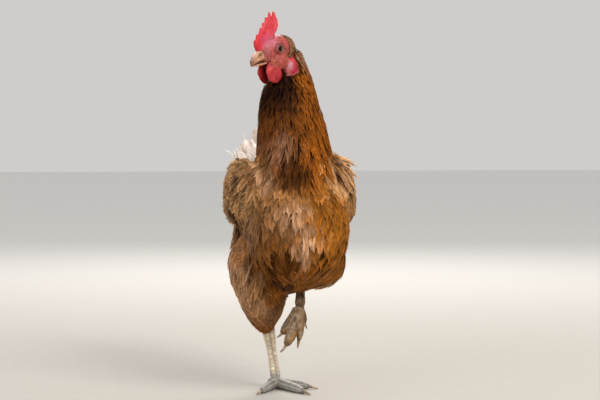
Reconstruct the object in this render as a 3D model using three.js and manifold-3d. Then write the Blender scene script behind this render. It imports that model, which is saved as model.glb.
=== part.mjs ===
// A brown laying hen standing on her right leg with the left foot lifted, life size, in millimetres.
// +Z is up. She faces -Y, and her left side is at +X.
// The origin is on the floor under the middle of her bounding box.
// Each named part of the body is one closed solid.
// The outline is that of the plumage, out to the feather tips.
import * as THREE from "three";
import { mergeVertices } from "three/addons/utils/BufferGeometryUtils.js";
import Module from "manifold-3d";

const wasm = await Module();
wasm.setup();

const v3 = (x, y, z) => new THREE.Vector3(x, y, z);

// Driving dimensions of the whole bird.
const GAP = 0.3; // clearance between pieces that touch
const BACK_HEIGHT = 281; // top of the trunk behind the neck
const BELLY_HEIGHT = 119; // lowest feathers between the legs
const BREAST_FRONT = -94; // foremost feathers of the breast, along Y
const TRUNK_HALF_WIDTH = 63;
const WING_HALF_SPAN = 80; // outer face of each folded wing from the midline
const TAIL_TIP = { y: 203, z: 322 };
const HEAD_CENTRE = v3(-31, -32, 415); // between the eyes
const HEAD_TURN = -53; // degrees about +Z: she looks over her right shoulder
const HEAD_PITCH = 14; // degrees that the bill dips
const EYE_RADIUS = 6.6;
const EYE_OFFSET = 8.6; // eye centre from the head's midplane
const STANDING_FOOT = v3(-12.5, 26, 9); // centre of the toe joint at the foot of the shank
const STANDING_HOCK = v3(-19, 50, 80);
const LIFTED_FOOT = v3(7, -20, 107);
const LIFTED_HOCK = v3(24, 48, 131);
const SHANK_HALF_WIDTH = 5.8;

const SIDES = { left: 1, right: -1 };

// ---------------------------------------------------------------- shape tools

// A station of a swept body: the section's centre and its reach sideways, over (dorsal) and under the spine.
const station = (x, y, z, side, over, under) => ({ centre: v3(x, y, z), size: v3(side, over, under) });

// Stations given for the left side of the body, on the side asked for.
const onSide = (stations, side) =>
  stations.map(({ centre, size }) => ({ centre: v3(centre.x * side, centre.y, centre.z), size }));

// A closed body swept along smooth curves through its stations: a sphere's rows become oval sections.
// sideways is the direction of each section's first half axis.
// over is the spine's direction crossed with it.
// blunt keeps the sections full towards the ends (2 is an ellipsoid), square squares their corners (2 is an
// ellipse), and grow moves the whole surface out.
function swept(stations, { around, along, blunt, square = 2, sideways = v3(1, 0, 0), grow = 0 }) {
  const spine = new THREE.CatmullRomCurve3(stations.map((s) => s.centre), false, "centripetal");
  const sizes = new THREE.CatmullRomCurve3(stations.map((s) => s.size), false, "centripetal");
  const corner = (value) => Math.sign(value) * Math.abs(value) ** (2 / square);
  const sphere = new THREE.SphereGeometry(1, around, along);
  sphere.deleteAttribute("normal");
  sphere.deleteAttribute("uv");
  const body = mergeVertices(sphere);
  const position = body.getAttribute("position");
  for (let i = 0; i < position.count; i++) {
    const ball = v3().fromBufferAttribute(position, i);
    const t = (1 - ball.y) / 2;
    const radial = Math.hypot(ball.x, ball.z);
    const onPole = radial < 1e-4;
    const tangent = spine.getTangent(t);
    const across = sideways.clone().addScaledVector(tangent, -sideways.dot(tangent)).normalize();
    const over = v3().crossVectors(tangent, across);
    const size = sizes.getPoint(t);
    const full = Math.sqrt(Math.max(0, 1 - Math.abs(2 * t - 1) ** blunt));
    const point = spine.getPoint(t);
    if (onPole) {
      point.addScaledVector(tangent, Math.sign(t - 0.5) * grow);
    } else {
      const reachOver = ball.z < 0 ? size.z : size.y;
      point.addScaledVector(across, (size.x * full + grow) * corner(ball.x / radial));
      point.addScaledVector(over, (reachOver * full + grow) * corner(ball.z / radial));
    }
    position.setXYZ(i, point.x, point.y, point.z);
  }
  return body;
}

// A closed mesh as a manifold-3d solid, turned the right way round.
function solid(geometry) {
  const bare = geometry.clone();
  bare.deleteAttribute("normal");
  bare.deleteAttribute("uv");
  const merged = mergeVertices(bare, 1e-3);
  const vertProperties = merged.attributes.position.array;
  const make = (triVerts) => new wasm.Manifold(new wasm.Mesh({ numProp: 3, vertProperties, triVerts }));
  const faces = new Uint32Array(merged.index.array);
  const made = make(faces);
  return made.volume() > 0 ? made : make(faces.toReversed());
}

// The largest body of a solid, as a three.js geometry.
function geometryOf(made) {
  const largest = made.decompose().sort((a, b) => b.volume() - a.volume())[0];
  const { numProp, numVert, vertProperties, triVerts } = largest.getMesh();
  const position = new Float32Array(numVert * 3);
  for (let i = 0; i < numVert; i++) {
    position.set(vertProperties.subarray(i * numProp, i * numProp + 3), i * 3);
  }
  const geometry = new THREE.BufferGeometry();
  geometry.setAttribute("position", new THREE.BufferAttribute(position, 3));
  geometry.setIndex(new THREE.BufferAttribute(new Uint32Array(triVerts), 1));
  geometry.computeVertexNormals();
  return geometry;
}

const cut = (made, ...tools) => tools.reduce((rest, tool) => rest.subtract(tool), made);

// ---------------------------------------------------------------- finishes and scene graph

const finish = (color, roughness) => new THREE.MeshStandardMaterial({ color, roughness, metalness: 0 });
const FINISHES = {
  plumage: finish("#a9713c", 0.8),
  hackle: finish("#7c431a", 0.75),
  quill: finish("#cdb29a", 0.8),
  face: finish("#c9575a", 0.6),
  comb: finish("#d5434c", 0.5),
  bill: finish("#b98a63", 0.4),
  scute: finish("#c4b79f", 0.6),
  claw: finish("#b9977c", 0.4),
  eye: finish("#2a190d", 0.05),
};

const hen = new THREE.Group();
const headGroup = new THREE.Group();
const radians = THREE.MathUtils.degToRad;
headGroup.position.copy(HEAD_CENTRE);
headGroup.rotation.set(radians(HEAD_PITCH), 0, radians(HEAD_TURN), "ZYX");
headGroup.updateMatrix();
hen.add(headGroup);
const inBodyFrame = (made) => made.transform(headGroup.matrix.elements);

function addPart(name, made, material, group = hen) {
  const mesh = new THREE.Mesh(geometryOf(made), material);
  mesh.name = name;
  group.add(mesh);
}

// ---------------------------------------------------------------- trunk and neck

// The trunk runs from the rump forward to the breast and is deepest over the legs.
const TRUNK_AXIS = 204; // height of the spine of its sections
const TRUNK_OVER = BACK_HEIGHT - TRUNK_AXIS;
const TRUNK_UNDER = TRUNK_AXIS - BELLY_HEIGHT;
const trunkStation = (y, rise, width, over, under) =>
  station(0, y, TRUNK_AXIS + rise, TRUNK_HALF_WIDTH * width, TRUNK_OVER * over, TRUNK_UNDER * under);
const TRUNK = [
  trunkStation(134, 34, 0.35, 0.26, 0.28),
  trunkStation(100, 20, 0.73, 0.52, 0.64),
  trunkStation(50, 5, 0.95, 0.88, 0.95),
  trunkStation(0, 0, 1, 1, 1),
  trunkStation(-42, 2, 0.99, 0.96, 0.86),
  trunkStation(-72, 6, 0.86, 0.68, 0.7),
  trunkStation(BREAST_FRONT, 8, 0.58, 0.4, 0.42),
];
const trunk = (grow) => solid(swept(TRUNK, { around: 26, along: 17, blunt: 7, square: 2.3, grow }));

// The hackle widens from the head down to a cape over the shoulders and the crop.
const NECK = [
  station(0, -30, 214, 55, 34, 50),
  station(-1, -32, 248, 52, 42, 50),
  station(-2.5, -33, 283, 46.5, 41, 43),
  station(-6, -33, 319, 41.5, 36, 36),
  station(-8.5, -28, 348, 36, 32, 32),
  station(-7.5, -19, 376, 29.5, 27, 28),
  station(-9.5, -12, 400, 24, 21, 22),
  station(-11, -12, 413, 20.5, 18, 19),
  station(-14, -15, 429, 13, 12, 13),
];
const neck = (grow) => solid(swept(NECK, { around: 20, along: 12, blunt: 10, grow }));

// ---------------------------------------------------------------- head, in its own frame
// The bill points to -Y, the left side is at +X, and the origin lies between the eyes.

const HEAD = [
  station(0, 36, -10, 9, 10, 12),
  station(0, 25, -5, 12.5, 13.8, 17.5),
  station(0, 14, -1.5, 14.4, 16.4, 19.5),
  station(0, 2, -1, 15, 15.5, 19.5),
  station(0, -9, -2, 12.4, 13.2, 16.5),
  station(0, -17, -4, 8.8, 9.6, 11.5),
  station(0, -22, -5, 6.6, 7.4, 7.6),
];
const skull = (grow) => solid(swept(HEAD, { around: 18, along: 12, blunt: 6, grow }));

// A fold of bare skin hangs from each side of the jaw, from the corner of the bill back to the ear lobe.
const CHEEK = [
  station(14.2, 13, -17, 3.4, 8, 7),
  station(13.6, 5, -17.5, 4, 9, 8.6),
  station(12, -4, -15.5, 4.2, 8, 6.8),
  station(9.4, -13, -12.5, 3.4, 6, 5),
];
const cheek = (side, grow) => solid(swept(onSide(CHEEK, side), { around: 12, along: 8, blunt: 4, grow }));
const head = (grow) => skull(grow).add(cheek(SIDES.left, grow)).add(cheek(SIDES.right, grow));

// The stout upper mandible hooks over the lower one.
const UPPER_BILL = [
  station(0, -15, -4, 6.8, 8, 8.2),
  station(0, -23.5, -4.6, 5.9, 7.2, 6.6),
  station(0, -30.5, -6.3, 4.7, 6.3, 4.7),
  station(0, -36.2, -9.8, 2.9, 4, 2.7),
  station(0, -39.4, -13.8, 1, 1.5, 1.2),
];
const LOWER_BILL = [
  station(0, -13, -13.2, 5.6, 1.8, 2.8),
  station(0, -22, -13.2, 4.8, 1.8, 2.3),
  station(0, -30, -13.1, 3.4, 1.6, 1.9),
  station(0, -35.8, -13.4, 1.4, 1, 1.1),
];
const BILL_SQUARE = 2.5;
const upperBill = (grow) =>
  solid(swept(UPPER_BILL, { around: 14, along: 10, blunt: 8, square: BILL_SQUARE, grow }));
const lowerBill = (grow) => solid(swept(LOWER_BILL, { around: 10, along: 7, blunt: 8, grow }));

// Wattles and ear lobes are thin drops of skin that hang down. The right wattle swings back a little.
const WATTLES = {
  left: [
    station(5.8, -13.5, -13, 7, 2.6, 2.6),
    station(9, -13.2, -23, 10.8, 2.6, 2.4),
    station(10.2, -12.2, -31.5, 11.2, 2.2, 2.2),
    station(10.4, -12, -39, 8, 1.6, 1.6),
  ],
  right: [
    station(5.8, -13.5, -13, 7, 2.6, 2.6),
    station(9, -12.4, -23, 11, 2.6, 2.4),
    station(10.2, -7.6, -32, 10.4, 2.2, 2.2),
    station(10.4, -3, -41.5, 5, 1.6, 1.6),
  ],
};
const EAR_LOBE = [
  station(16.6, 15.4, -12, 4.4, 2.4, 2.4),
  station(18, 11.6, -22, 8, 2.8, 2.8),
  station(17.9, 8.6, -30, 7.6, 2.4, 2.4),
  station(17.2, 5, -37.6, 4, 1.6, 1.6),
];
const FLARE = { wattle: 0.22, lobe: 0.42 }; // how far a rear edge turns out, as a slope
const DROP_MESH = { around: 12, along: 8, blunt: 3 };
const drop = (stations, side, flare, grow) =>
  solid(swept(onSide(stations, side), { ...DROP_MESH, sideways: v3(side * flare, 1, 0).normalize(), grow }));
const wattle = (side, grow) => drop(side > 0 ? WATTLES.left : WATTLES.right, side, FLARE.wattle, grow);
const earLobe = (side, grow) => drop(EAR_LOBE, side, FLARE.lobe, grow);

// The eyes are balls sunk in the head, so that only the cornea stands out.
const eye = (side, grow) =>
  solid(new THREE.SphereGeometry(EYE_RADIUS + grow, 12, 8).translate(side * EYE_OFFSET, 0, 0));

// The comb is one blade with seven points, thick where it grows from the skull and thin at its tips.
// Each point has its own place and how deep the notch in front of it is.
const COMB_FRONT = { along: 25.4, height: 3 };
const COMB_BACK = { along: -8.5, height: 16 };
const COMB_REAR_EDGE = { along: -18.9, height: 30.5 }; // where the rear edge reaches furthest back
const COMB_ROOT_DEPTH = 6; // how far the blade runs down into the skull
const COMB_POINTS = [
  { along: 26.4, height: 14.6, notch: 0 },
  { along: 20.6, height: 21, notch: 2 },
  { along: 12.6, height: 27.4, notch: 3 },
  { along: 6.8, height: 32.6, notch: 2.2 },
  { along: 0.6, height: 38.2, notch: 3.2 },
  { along: -6.8, height: 43.4, notch: 4.5 },
  { along: -14.4, height: 42.6, notch: 7.5 },
];
const COMB_POINT_CURVE = 0.3; // bends a point's sides in, so that it narrows to its tip
const COMB_HALF_THICKNESS = { root: 2.9, tip: 1.1 };
function comb() {
  const between = (tip, notch) => ({
    along: THREE.MathUtils.lerp(tip.along, notch.along, COMB_POINT_CURVE),
    height: THREE.MathUtils.lerp(notch.height, tip.height, COMB_POINT_CURVE),
  });
  const outline = new THREE.Shape();
  outline.moveTo(COMB_BACK.along, COMB_BACK.height - COMB_ROOT_DEPTH);
  outline.lineTo(COMB_FRONT.along - 3, COMB_FRONT.height - COMB_ROOT_DEPTH);
  outline.lineTo(COMB_FRONT.along, COMB_FRONT.height);
  const first = COMB_POINTS[0];
  outline.quadraticCurveTo(COMB_FRONT.along + 3, COMB_FRONT.height + 6, first.along, first.height);
  COMB_POINTS.slice(1).forEach((tip, i) => {
    const last = COMB_POINTS[i];
    const notch = { along: (last.along + tip.along) / 2, height: (last.height + tip.height) / 2 - tip.notch };
    const down = between(last, notch);
    const up = between(tip, notch);
    outline.quadraticCurveTo(down.along, down.height, notch.along, notch.height);
    outline.quadraticCurveTo(up.along, up.height, tip.along, tip.height);
  });
  const rear = COMB_REAR_EDGE;
  outline.quadraticCurveTo(rear.along + 2, rear.height + 6, rear.along, rear.height);
  outline.quadraticCurveTo(rear.along, rear.height - 8, COMB_BACK.along, COMB_BACK.height);
  outline.closePath();
  const blade = new THREE.ExtrudeGeometry(outline, {
    depth: 1,
    curveSegments: 3,
    bevelThickness: 0.5,
    bevelSize: 0.7,
    bevelOffset: -0.7,
    bevelSegments: 1,
  });
  blade.translate(0, 0, -0.5);
  const position = blade.getAttribute("position");
  const top = Math.max(...COMB_POINTS.map((p) => p.height));
  for (let i = 0; i < position.count; i++) {
    const share = THREE.MathUtils.clamp(position.getY(i) / top, 0, 1);
    const half = THREE.MathUtils.lerp(COMB_HALF_THICKNESS.root, COMB_HALF_THICKNESS.tip, share);
    position.setXYZ(i, position.getZ(i) * half, -position.getX(i), position.getY(i));
  }
  return solid(blade);
}

// ---------------------------------------------------------------- wings and tail

// A folded wing is a shell that lies on the flank, from its tip forward to the shoulder.
const WING_MIDDLE = 245; // height of the wing's long axis
const wingStation = (y, inset, rise, thickness, over, under) =>
  station(WING_HALF_SPAN - inset, y, WING_MIDDLE + rise, thickness, over, under);
const WING = [
  wingStation(160, 46, -6, 4, 8, 8),
  wingStation(118, 30, -4, 9, 22, 20),
  wingStation(66, 20, -2, 11.5, 34, 31),
  wingStation(12, 16, 0, 12.5, 42, 41),
  wingStation(-28, 18, 1, 13, 40, 41),
  wingStation(-58, 26, 2, 10, 27, 27),
];
const WING_LEAN = 0.07; // how far the wing's face turns up, as the slope of its normal
const wing = (side, grow) => {
  const sideways = v3(side, 0, WING_LEAN).normalize();
  return solid(swept(onSide(WING, side), { around: 16, along: 11, blunt: 6, square: 2.4, sideways, grow }));
};

// The tail is a folded tent of quills with the fluff of the rump, from its tip down to the trunk.
const tailStation = (back, drop, side, over, under) =>
  station(0, TAIL_TIP.y - back, TAIL_TIP.z - drop, side, over, under);
const TAIL = [
  tailStation(0, 14, 26, 12, 16),
  tailStation(22, 30, 38, 22, 30),
  tailStation(50, 52, 45, 28, 38),
  tailStation(82, 76, 44, 28, 38),
  tailStation(116, 96, 30, 22, 24),
];
const tail = () => solid(swept(TAIL, { around: 16, along: 9, blunt: 6, square: 2.2 }));

// ---------------------------------------------------------------- legs

// The thighs are feathered drumsticks that taper to the hock, from the hip down.
const RIGHT_THIGH = [
  station(-42, 6, 196, 32, 34, 34),
  station(-42.5, 6, 156, 35, 38, 38),
  station(-34, 13, 128, 33, 34, 34),
  station(-28.5, 26, 105, 27.5, 27, 27),
  station(-25.5, 38, 87, 19.5, 18, 18),
  station(STANDING_HOCK.x - 2, STANDING_HOCK.y - 5, STANDING_HOCK.z - 15, 9, 9, 9.2),
];
const LEFT_THIGH = [
  station(41, -46, 182, 22, 26, 26),
  station(39, -22, 159, 25, 29, 30),
  station(35, 6, 147, 22, 24, 23),
  station(29, 30, 138, 14, 15, 14),
  station(LIFTED_HOCK.x + 1, LIFTED_HOCK.y - 3, LIFTED_HOCK.z, 8.4, 8.4, 8.4),
];
const rightThigh = (grow) => solid(swept(RIGHT_THIGH, { around: 16, along: 11, blunt: 8, grow }));
const leftThigh = (grow) => solid(swept(LEFT_THIGH, { around: 16, along: 9, blunt: 6, grow }));

// The shank is the scaly leg from the hock to the toe joint, waisted in the middle.
const SHANK_DEPTH = 1.12; // it is deeper from front to back than it is wide
const SHANK_GIRTHS = [
  { share: -0.06, girth: 1.25 },
  { share: 0.12, girth: 1.15 },
  { share: 0.45, girth: 0.9 },
  { share: 0.8, girth: 1 },
  { share: 1.02, girth: 1.24 },
];
function shank(hock, foot, grow) {
  const stations = SHANK_GIRTHS.map(({ share, girth }) => {
    const { x, y, z } = hock.clone().lerp(foot, share);
    const reach = SHANK_HALF_WIDTH * girth;
    return station(x, y, z, reach, reach * SHANK_DEPTH, reach * SHANK_DEPTH);
  });
  return solid(swept(stations, { around: 10, along: 8, blunt: 8, grow }));
}

// Toes grow from the joint at the foot of the shank: tip is relative to that joint, and rise bows the toe.
// A toe that stands on the floor has its sole pressed flat.
const TOE_RADIUS = { root: 5.6, end: 3.7 };
const TOE_KNUCKLE = 0.45; // where the toe bows most, as a share of its length
const PAD_SWELL = 0.1;
const SOLE_PRESS = 0.9; // how far a standing toe's sole would reach under the floor
const CLAW_RADIUS = { root: 2.8, tip: 0.8 };
const CLAW_ROOT = 3; // how far the claw starts behind the toe's end
const CLAW_DROOP = 0.28; // how far its point hangs under the toe's line, as a share of its length
function toe(joint, { tip, rise, claw, girth }, stands) {
  const floor = (geometry) => {
    const position = geometry.getAttribute("position");
    for (let i = 0; stands && i < position.count; i++) position.setZ(i, Math.max(position.getZ(i), 0));
    return geometry;
  };
  const end = joint.clone().add(tip);
  const path = new THREE.QuadraticBezierCurve3(joint, joint.clone().lerp(end, TOE_KNUCKLE).add(rise), end);
  const stations = [0, 0.3, 0.65, 1].map((share) => {
    const { x, y, z } = path.getPoint(share);
    const pad = 1 + PAD_SWELL * Math.cos(share * 3 * Math.PI);
    const reach = THREE.MathUtils.lerp(TOE_RADIUS.root, TOE_RADIUS.end, share) * girth * pad;
    const sole = stands ? Math.max(reach, z + SOLE_PRESS) : reach;
    return station(x, y, z, reach, reach, sole);
  });
  const heading = path.getTangent(1);
  const level = v3(-heading.y, heading.x, 0);
  const sideways = level.length() > 0.25 ? level.normalize() : v3(1, 0, 0);
  const toeMesh = { around: 8, along: 7, blunt: 8, sideways };
  const droop = v3().crossVectors(heading, sideways).multiplyScalar(claw * CLAW_DROOP);
  if (stands) droop.z = -Math.abs(droop.z);
  const point = end.clone().addScaledVector(heading, claw).add(droop);
  if (stands) point.z = Math.max(point.z, 1);
  const root = end.clone().addScaledVector(heading, -CLAW_ROOT);
  const curve = new THREE.QuadraticBezierCurve3(root, end.clone().addScaledVector(heading, claw / 2), point);
  const clawStations = [0, 0.5, 1].map((share) => {
    const { x, y, z } = curve.getPoint(share);
    const reach = THREE.MathUtils.lerp(CLAW_RADIUS.root, CLAW_RADIUS.tip, share) * girth;
    return station(x, y, z, reach, reach, reach);
  });
  return {
    body: solid(floor(swept(stations, toeMesh))),
    grown: solid(floor(swept(stations, { ...toeMesh, grow: GAP }))),
    nail: solid(floor(swept(clawStations, { around: 6, along: 5, blunt: 6, sideways }))),
  };
}

// A standing toe's tip, from its length and its bearing from straight ahead, in degrees to the bird's left.
const TIP_HEIGHT = 3.4; // of its centre line above the floor
function flatTip(length, bearing) {
  const angle = radians(bearing);
  return v3(Math.sin(angle) * length, -Math.cos(angle) * length, TIP_HEIGHT - STANDING_FOOT.z);
}
const STANDING_TOES = {
  middle: { tip: flatTip(58, 25), rise: v3(0, 0, 0.5), claw: 11, girth: 1.05 },
  inner: { tip: flatTip(43, 66), rise: v3(0, 0, 1), claw: 10, girth: 0.95 },
  outer: { tip: flatTip(48, -36), rise: v3(0, 0, 1), claw: 10, girth: 0.95 },
  hind: { tip: flatTip(25, 190), rise: v3(0, 0, 2), claw: 10, girth: 0.85 },
};
const LIFTED_TOES = {
  middle: { tip: v3(-19, -8, -47), rise: v3(2, -9, 0), claw: 11, girth: 1.05 },
  inner: { tip: v3(-22, 0, -33), rise: v3(0, -7, 0), claw: 9, girth: 0.95 },
  outer: { tip: v3(-3, -6, -42), rise: v3(2, -8, 0), claw: 9, girth: 0.95 },
  hind: { tip: v3(9, 12, -23), rise: v3(2, 4, 0), claw: 9, girth: 0.8 },
};

// ---------------------------------------------------------------- assembly
// Each part is cut clear of those before it.

const headTool = head(GAP);
const trunkTool = trunk(GAP);
const neckTool = neck(GAP);
addPart("head", cut(head(0), eye(SIDES.left, GAP), eye(SIDES.right, GAP)), FINISHES.face, headGroup);
addPart("comb", cut(comb(), headTool, upperBill(GAP)), FINISHES.comb, headGroup);
addPart("bill_upper", cut(upperBill(0), headTool), FINISHES.bill, headGroup);
addPart("bill_lower", cut(lowerBill(0), headTool, upperBill(GAP)), FINISHES.bill, headGroup);
const neckCuts = [trunkTool, inBodyFrame(headTool)];
for (const [name, side] of Object.entries(SIDES)) {
  addPart(`eye_${name}`, eye(side, 0), FINISHES.eye, headGroup);
  addPart(`wattle_${name}`, cut(wattle(side, 0), headTool, lowerBill(GAP)), FINISHES.comb, headGroup);
  addPart(`ear_lobe_${name}`, cut(earLobe(side, 0), headTool), FINISHES.comb, headGroup);
  neckCuts.push(inBodyFrame(wattle(side, GAP)), inBodyFrame(earLobe(side, GAP)));
}
addPart("neck", cut(neck(0), ...neckCuts), FINISHES.hackle);
addPart("trunk", trunk(0), FINISHES.plumage);

for (const [name, side] of Object.entries(SIDES)) {
  addPart(`wing_${name}`, cut(wing(side, 0), trunkTool, neckTool), FINISHES.plumage);
}
addPart("tail", cut(tail(), trunkTool, wing(SIDES.left, GAP), wing(SIDES.right, GAP)), FINISHES.quill);

const LEGS = {
  right: { thigh: rightThigh, hock: STANDING_HOCK, foot: STANDING_FOOT, toes: STANDING_TOES, stands: true },
  left: { thigh: leftThigh, hock: LIFTED_HOCK, foot: LIFTED_FOOT, toes: LIFTED_TOES, stands: false },
};
for (const [name, { thigh, hock, foot, toes, stands }] of Object.entries(LEGS)) {
  addPart(`thigh_${name}`, cut(thigh(0), trunkTool, wing(SIDES[name], GAP)), FINISHES.plumage);
  addPart(`shank_${name}`, cut(shank(hock, foot, 0), thigh(GAP), trunkTool), FINISHES.scute);
  const tools = [shank(hock, foot, GAP), thigh(GAP), trunkTool];
  for (const [toeName, shape] of Object.entries(toes)) {
    const { body, grown, nail } = toe(foot, shape, stands);
    addPart(`${name}_${toeName}_toe`, cut(body, ...tools), FINISHES.scute);
    addPart(`${name}_${toeName}_claw`, cut(nail, grown, ...tools), FINISHES.claw);
    tools.push(grown);
  }
}

// The origin goes on the floor under the middle of the bounding box.
const bounds = new THREE.Box3().setFromObject(hen, true);
const middle = bounds.getCenter(v3());
hen.position.set(-middle.x, -middle.y, -bounds.min.z);

const model = new THREE.Group();
model.add(hen);
export default model;
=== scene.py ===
"""A life-size brown laying hen on one leg, her head turned aside: skin, feathers, horn, scales and light.

Shapes are worked out in millimetres in the hen's own frame: x to her left, y to her tail and z up from the
floor, from a point on the floor under the front of her trunk. A piece is turned into metres, in the frame of
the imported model, when its mesh is finished.
"""

from __future__ import annotations

import logging
import math
from dataclasses import dataclass
from enum import Enum
from typing import Any, Callable, Sequence, Union

import bmesh
import bpy
import numpy as np
from mathutils import Matrix, Vector
from mathutils.bvhtree import BVHTree
from mathutils.kdtree import KDTree

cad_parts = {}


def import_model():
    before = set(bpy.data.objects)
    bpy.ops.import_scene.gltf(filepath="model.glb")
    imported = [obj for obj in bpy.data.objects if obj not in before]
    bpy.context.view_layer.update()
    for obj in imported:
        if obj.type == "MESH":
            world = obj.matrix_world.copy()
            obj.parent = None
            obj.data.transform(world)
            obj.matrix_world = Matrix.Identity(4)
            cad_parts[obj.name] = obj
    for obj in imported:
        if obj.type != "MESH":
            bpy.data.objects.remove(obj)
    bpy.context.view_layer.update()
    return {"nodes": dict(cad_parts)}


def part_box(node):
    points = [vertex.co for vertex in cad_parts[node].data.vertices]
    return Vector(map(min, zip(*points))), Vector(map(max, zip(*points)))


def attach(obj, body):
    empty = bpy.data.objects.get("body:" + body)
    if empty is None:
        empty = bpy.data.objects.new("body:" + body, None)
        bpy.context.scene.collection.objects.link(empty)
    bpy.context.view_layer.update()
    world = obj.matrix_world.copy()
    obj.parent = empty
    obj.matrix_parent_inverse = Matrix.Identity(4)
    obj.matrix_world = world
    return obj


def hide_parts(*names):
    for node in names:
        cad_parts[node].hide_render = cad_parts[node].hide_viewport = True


log = logging.getLogger("hen")
Array = np.ndarray
Place = tuple[float, float, float]
Tone = tuple[float, float, float]
Cut = tuple[Array, ...]  # the arrays of cut feathers
Piece, Mesh, Material = bpy.types.Object, bpy.types.Mesh, bpy.types.Material
MM = 0.001
SIDES = {"left": 1.0, "right": -1.0}
TOES = ("middle", "inner", "outer", "hind")


# ---------------- arithmetic on arrays


def unit(vectors: Array) -> Array:
    """Returns the vectors, each scaled to a length of one."""
    return vectors / np.maximum(np.linalg.norm(vectors, axis=-1, keepdims=True), 1e-9)


def ease(values: Array, start: float, end: float) -> Array:
    """Returns a smooth step from 0 at start to 1 at end, where start may be the larger."""
    t = np.clip((np.asarray(values, float) - start) / (end - start), 0, 1)
    return t * t * (3 - 2 * t)


def bell(values: Array, width: float) -> Array:
    """Returns 1 where a value is 0, falling softly to 0 on both sides."""
    return np.exp(-((values / width) ** 2))


def blend(first: Any, second: Any, share: Array) -> Array:
    """Mixes two values or two rows of values.

    Args:
        first: What share 0 gives.
        second: What share 1 gives.
        share: One share for each row.

    Returns:
        The mixed rows.
    """
    first, second = np.asarray(first, float), np.asarray(second, float)
    if max(first.ndim, second.ndim) > np.ndim(share) or first.shape == (3,):
        share = np.asarray(share)[..., None]
    return first + (second - first) * share


def layered(ground: Any, *marks: tuple[Any, Array]) -> Array:
    """Lays marks over a ground colour, one after the other.

    Args:
        ground: The colour under them, or one for each point.
        *marks: The colour of each mark, and its strength at each point.

    Returns:
        The colour at each point.
    """
    for colour, strength in marks:
        ground = blend(ground, colour, strength)
    return ground


def grain(points: Array, size: float, seed: int) -> Array:
    """Works out smooth random relief.

    Args:
        points: Where it is read, one row each.
        size: The width of one lump, in the unit of the points.
        seed: Which relief it is.

    Returns:
        A value from -1 to 1 for each point.
    """
    cell = points / size
    low = np.floor(cell).astype(np.int64)
    part = cell - low
    part = part * part * (3 - 2 * part)
    total = np.zeros(len(points))
    for corner in range(8):
        step = np.array([corner & 1, corner >> 1 & 1, corner >> 2 & 1])
        key = (low + step) @ np.array([73856093, 19349663, 83492791]) + seed * 974711
        key = (key ^ (key >> 13)) * 1274126177 & 0xFFFFFFFF
        key = (key ^ (key >> 15)) * 668265263 & 0xFFFFFFFF
        value = (key >> 8 & 0xFFFF) / 32767.5 - 1
        total += value * np.prod(np.where(step, part, 1 - part), axis=1)
    return total


def near_line(points: Array, start: Sequence[float], end: Sequence[float]) -> Array:
    """Measures how far points are from a straight line.

    Args:
        points: The points, one row each.
        start: Where the line starts.
        end: Where it ends.

    Returns:
        The distance of each point.
    """
    way = np.subtract(end, start)
    share = np.clip((points - start) @ way / np.sum(way**2), 0, 1)
    return np.linalg.norm(points - start - share[:, None] * way, axis=1)


def side_by_side(*columns: Any) -> Array:
    """Returns rows made of columns, where a number stands for a whole column."""
    return np.stack(np.broadcast_arrays(*columns), axis=-1).astype(float)


# ---------------- the hen's frame


@dataclass(frozen=True)
class Hen:
    """Where her landmarks lie, in millimetres and degrees."""

    origin: Array  # where her own frame starts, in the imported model's
    head_centre: Place = (-31.0, -32.0, 415.0)  # midway between her eyes
    head_turn: float = -53.0  # how far her head is turned over her right shoulder
    head_pitch: float = 14.0  # how far her bill dips
    eye_offset: float = 8.6  # from the head's middle plane to the middle of an eyeball
    eye_radius: float = 6.6
    feet: tuple[Place, Place] = ((7.0, -20.0, 107.0), (-12.5, 26.0, 9.0))  # her toes' joints, left and right
    hocks: tuple[Place, Place] = ((24.0, 48.0, 131.0), (-19.0, 50.0, 80.0))  # the ends of her legs' feathers

    @classmethod
    def from_frame(cls) -> Hen:
        """Returns the hen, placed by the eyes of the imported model."""
        corners = [np.array(c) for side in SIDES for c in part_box(f"eye_{side}")]
        return cls(np.mean(corners, axis=0) / MM - np.array(cls.head_centre))

    def metres(self, points: Array) -> Array:
        """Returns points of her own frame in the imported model's."""
        return (np.asarray(points, float) + self.origin) * MM

    def millimetres(self, points: Array) -> Array:
        """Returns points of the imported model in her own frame."""
        return np.asarray(points, float) / MM - self.origin

    def head_axes(self) -> Array:
        """Returns the head's own axes as columns: to its left, to its back and up."""
        turn = Matrix.Rotation(math.radians(self.head_turn), 3, "Z")
        return np.array(turn @ Matrix.Rotation(math.radians(self.head_pitch), 3, "X"))

    def to_head(self, points: Array) -> Array:
        """Returns points of her frame in the head's own."""
        return (points - np.array(self.head_centre)) @ self.head_axes()

    def from_head(self, points: Array) -> Array:
        """Returns points of the head's own frame in hers."""
        return points @ self.head_axes().T + np.array(self.head_centre)

    def hock_distances(self, points: Array) -> list[Array]:
        """Returns how far points are from her left and from her right hock."""
        return [np.linalg.norm(points - np.array(hock), axis=1) for hock in self.hocks]


# ---------------- meshes


def read(items: Any, what: str, width: int, kind: type = np.float32) -> Array:
    """Reads one property of all the items of a mesh.

    Args:
        items: The items, such as the mesh's vertices.
        what: The property.
        width: How many numbers it has for each item.
        kind: What sort of numbers they are.

    Returns:
        One row for each item.
    """
    values = np.empty(len(items) * width, kind)
    items.foreach_get(what, values)
    return values.reshape(-1, width)


def write(items: Any, what: str, values: Array, kind: type = np.float32) -> None:
    """Sets one property of all the items of a mesh from rows."""
    items.foreach_set(what, np.asarray(values).astype(kind).ravel())


def points_of(mesh: Mesh) -> Array:
    """Returns the places of a mesh's vertices, one row each."""
    return read(mesh.vertices, "co", 3).astype(float)


def normals_of(mesh: Mesh) -> Array:
    """Returns the normals at a mesh's vertices, one row each."""
    return read(mesh.vertex_normals, "vector", 3).astype(float)


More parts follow.
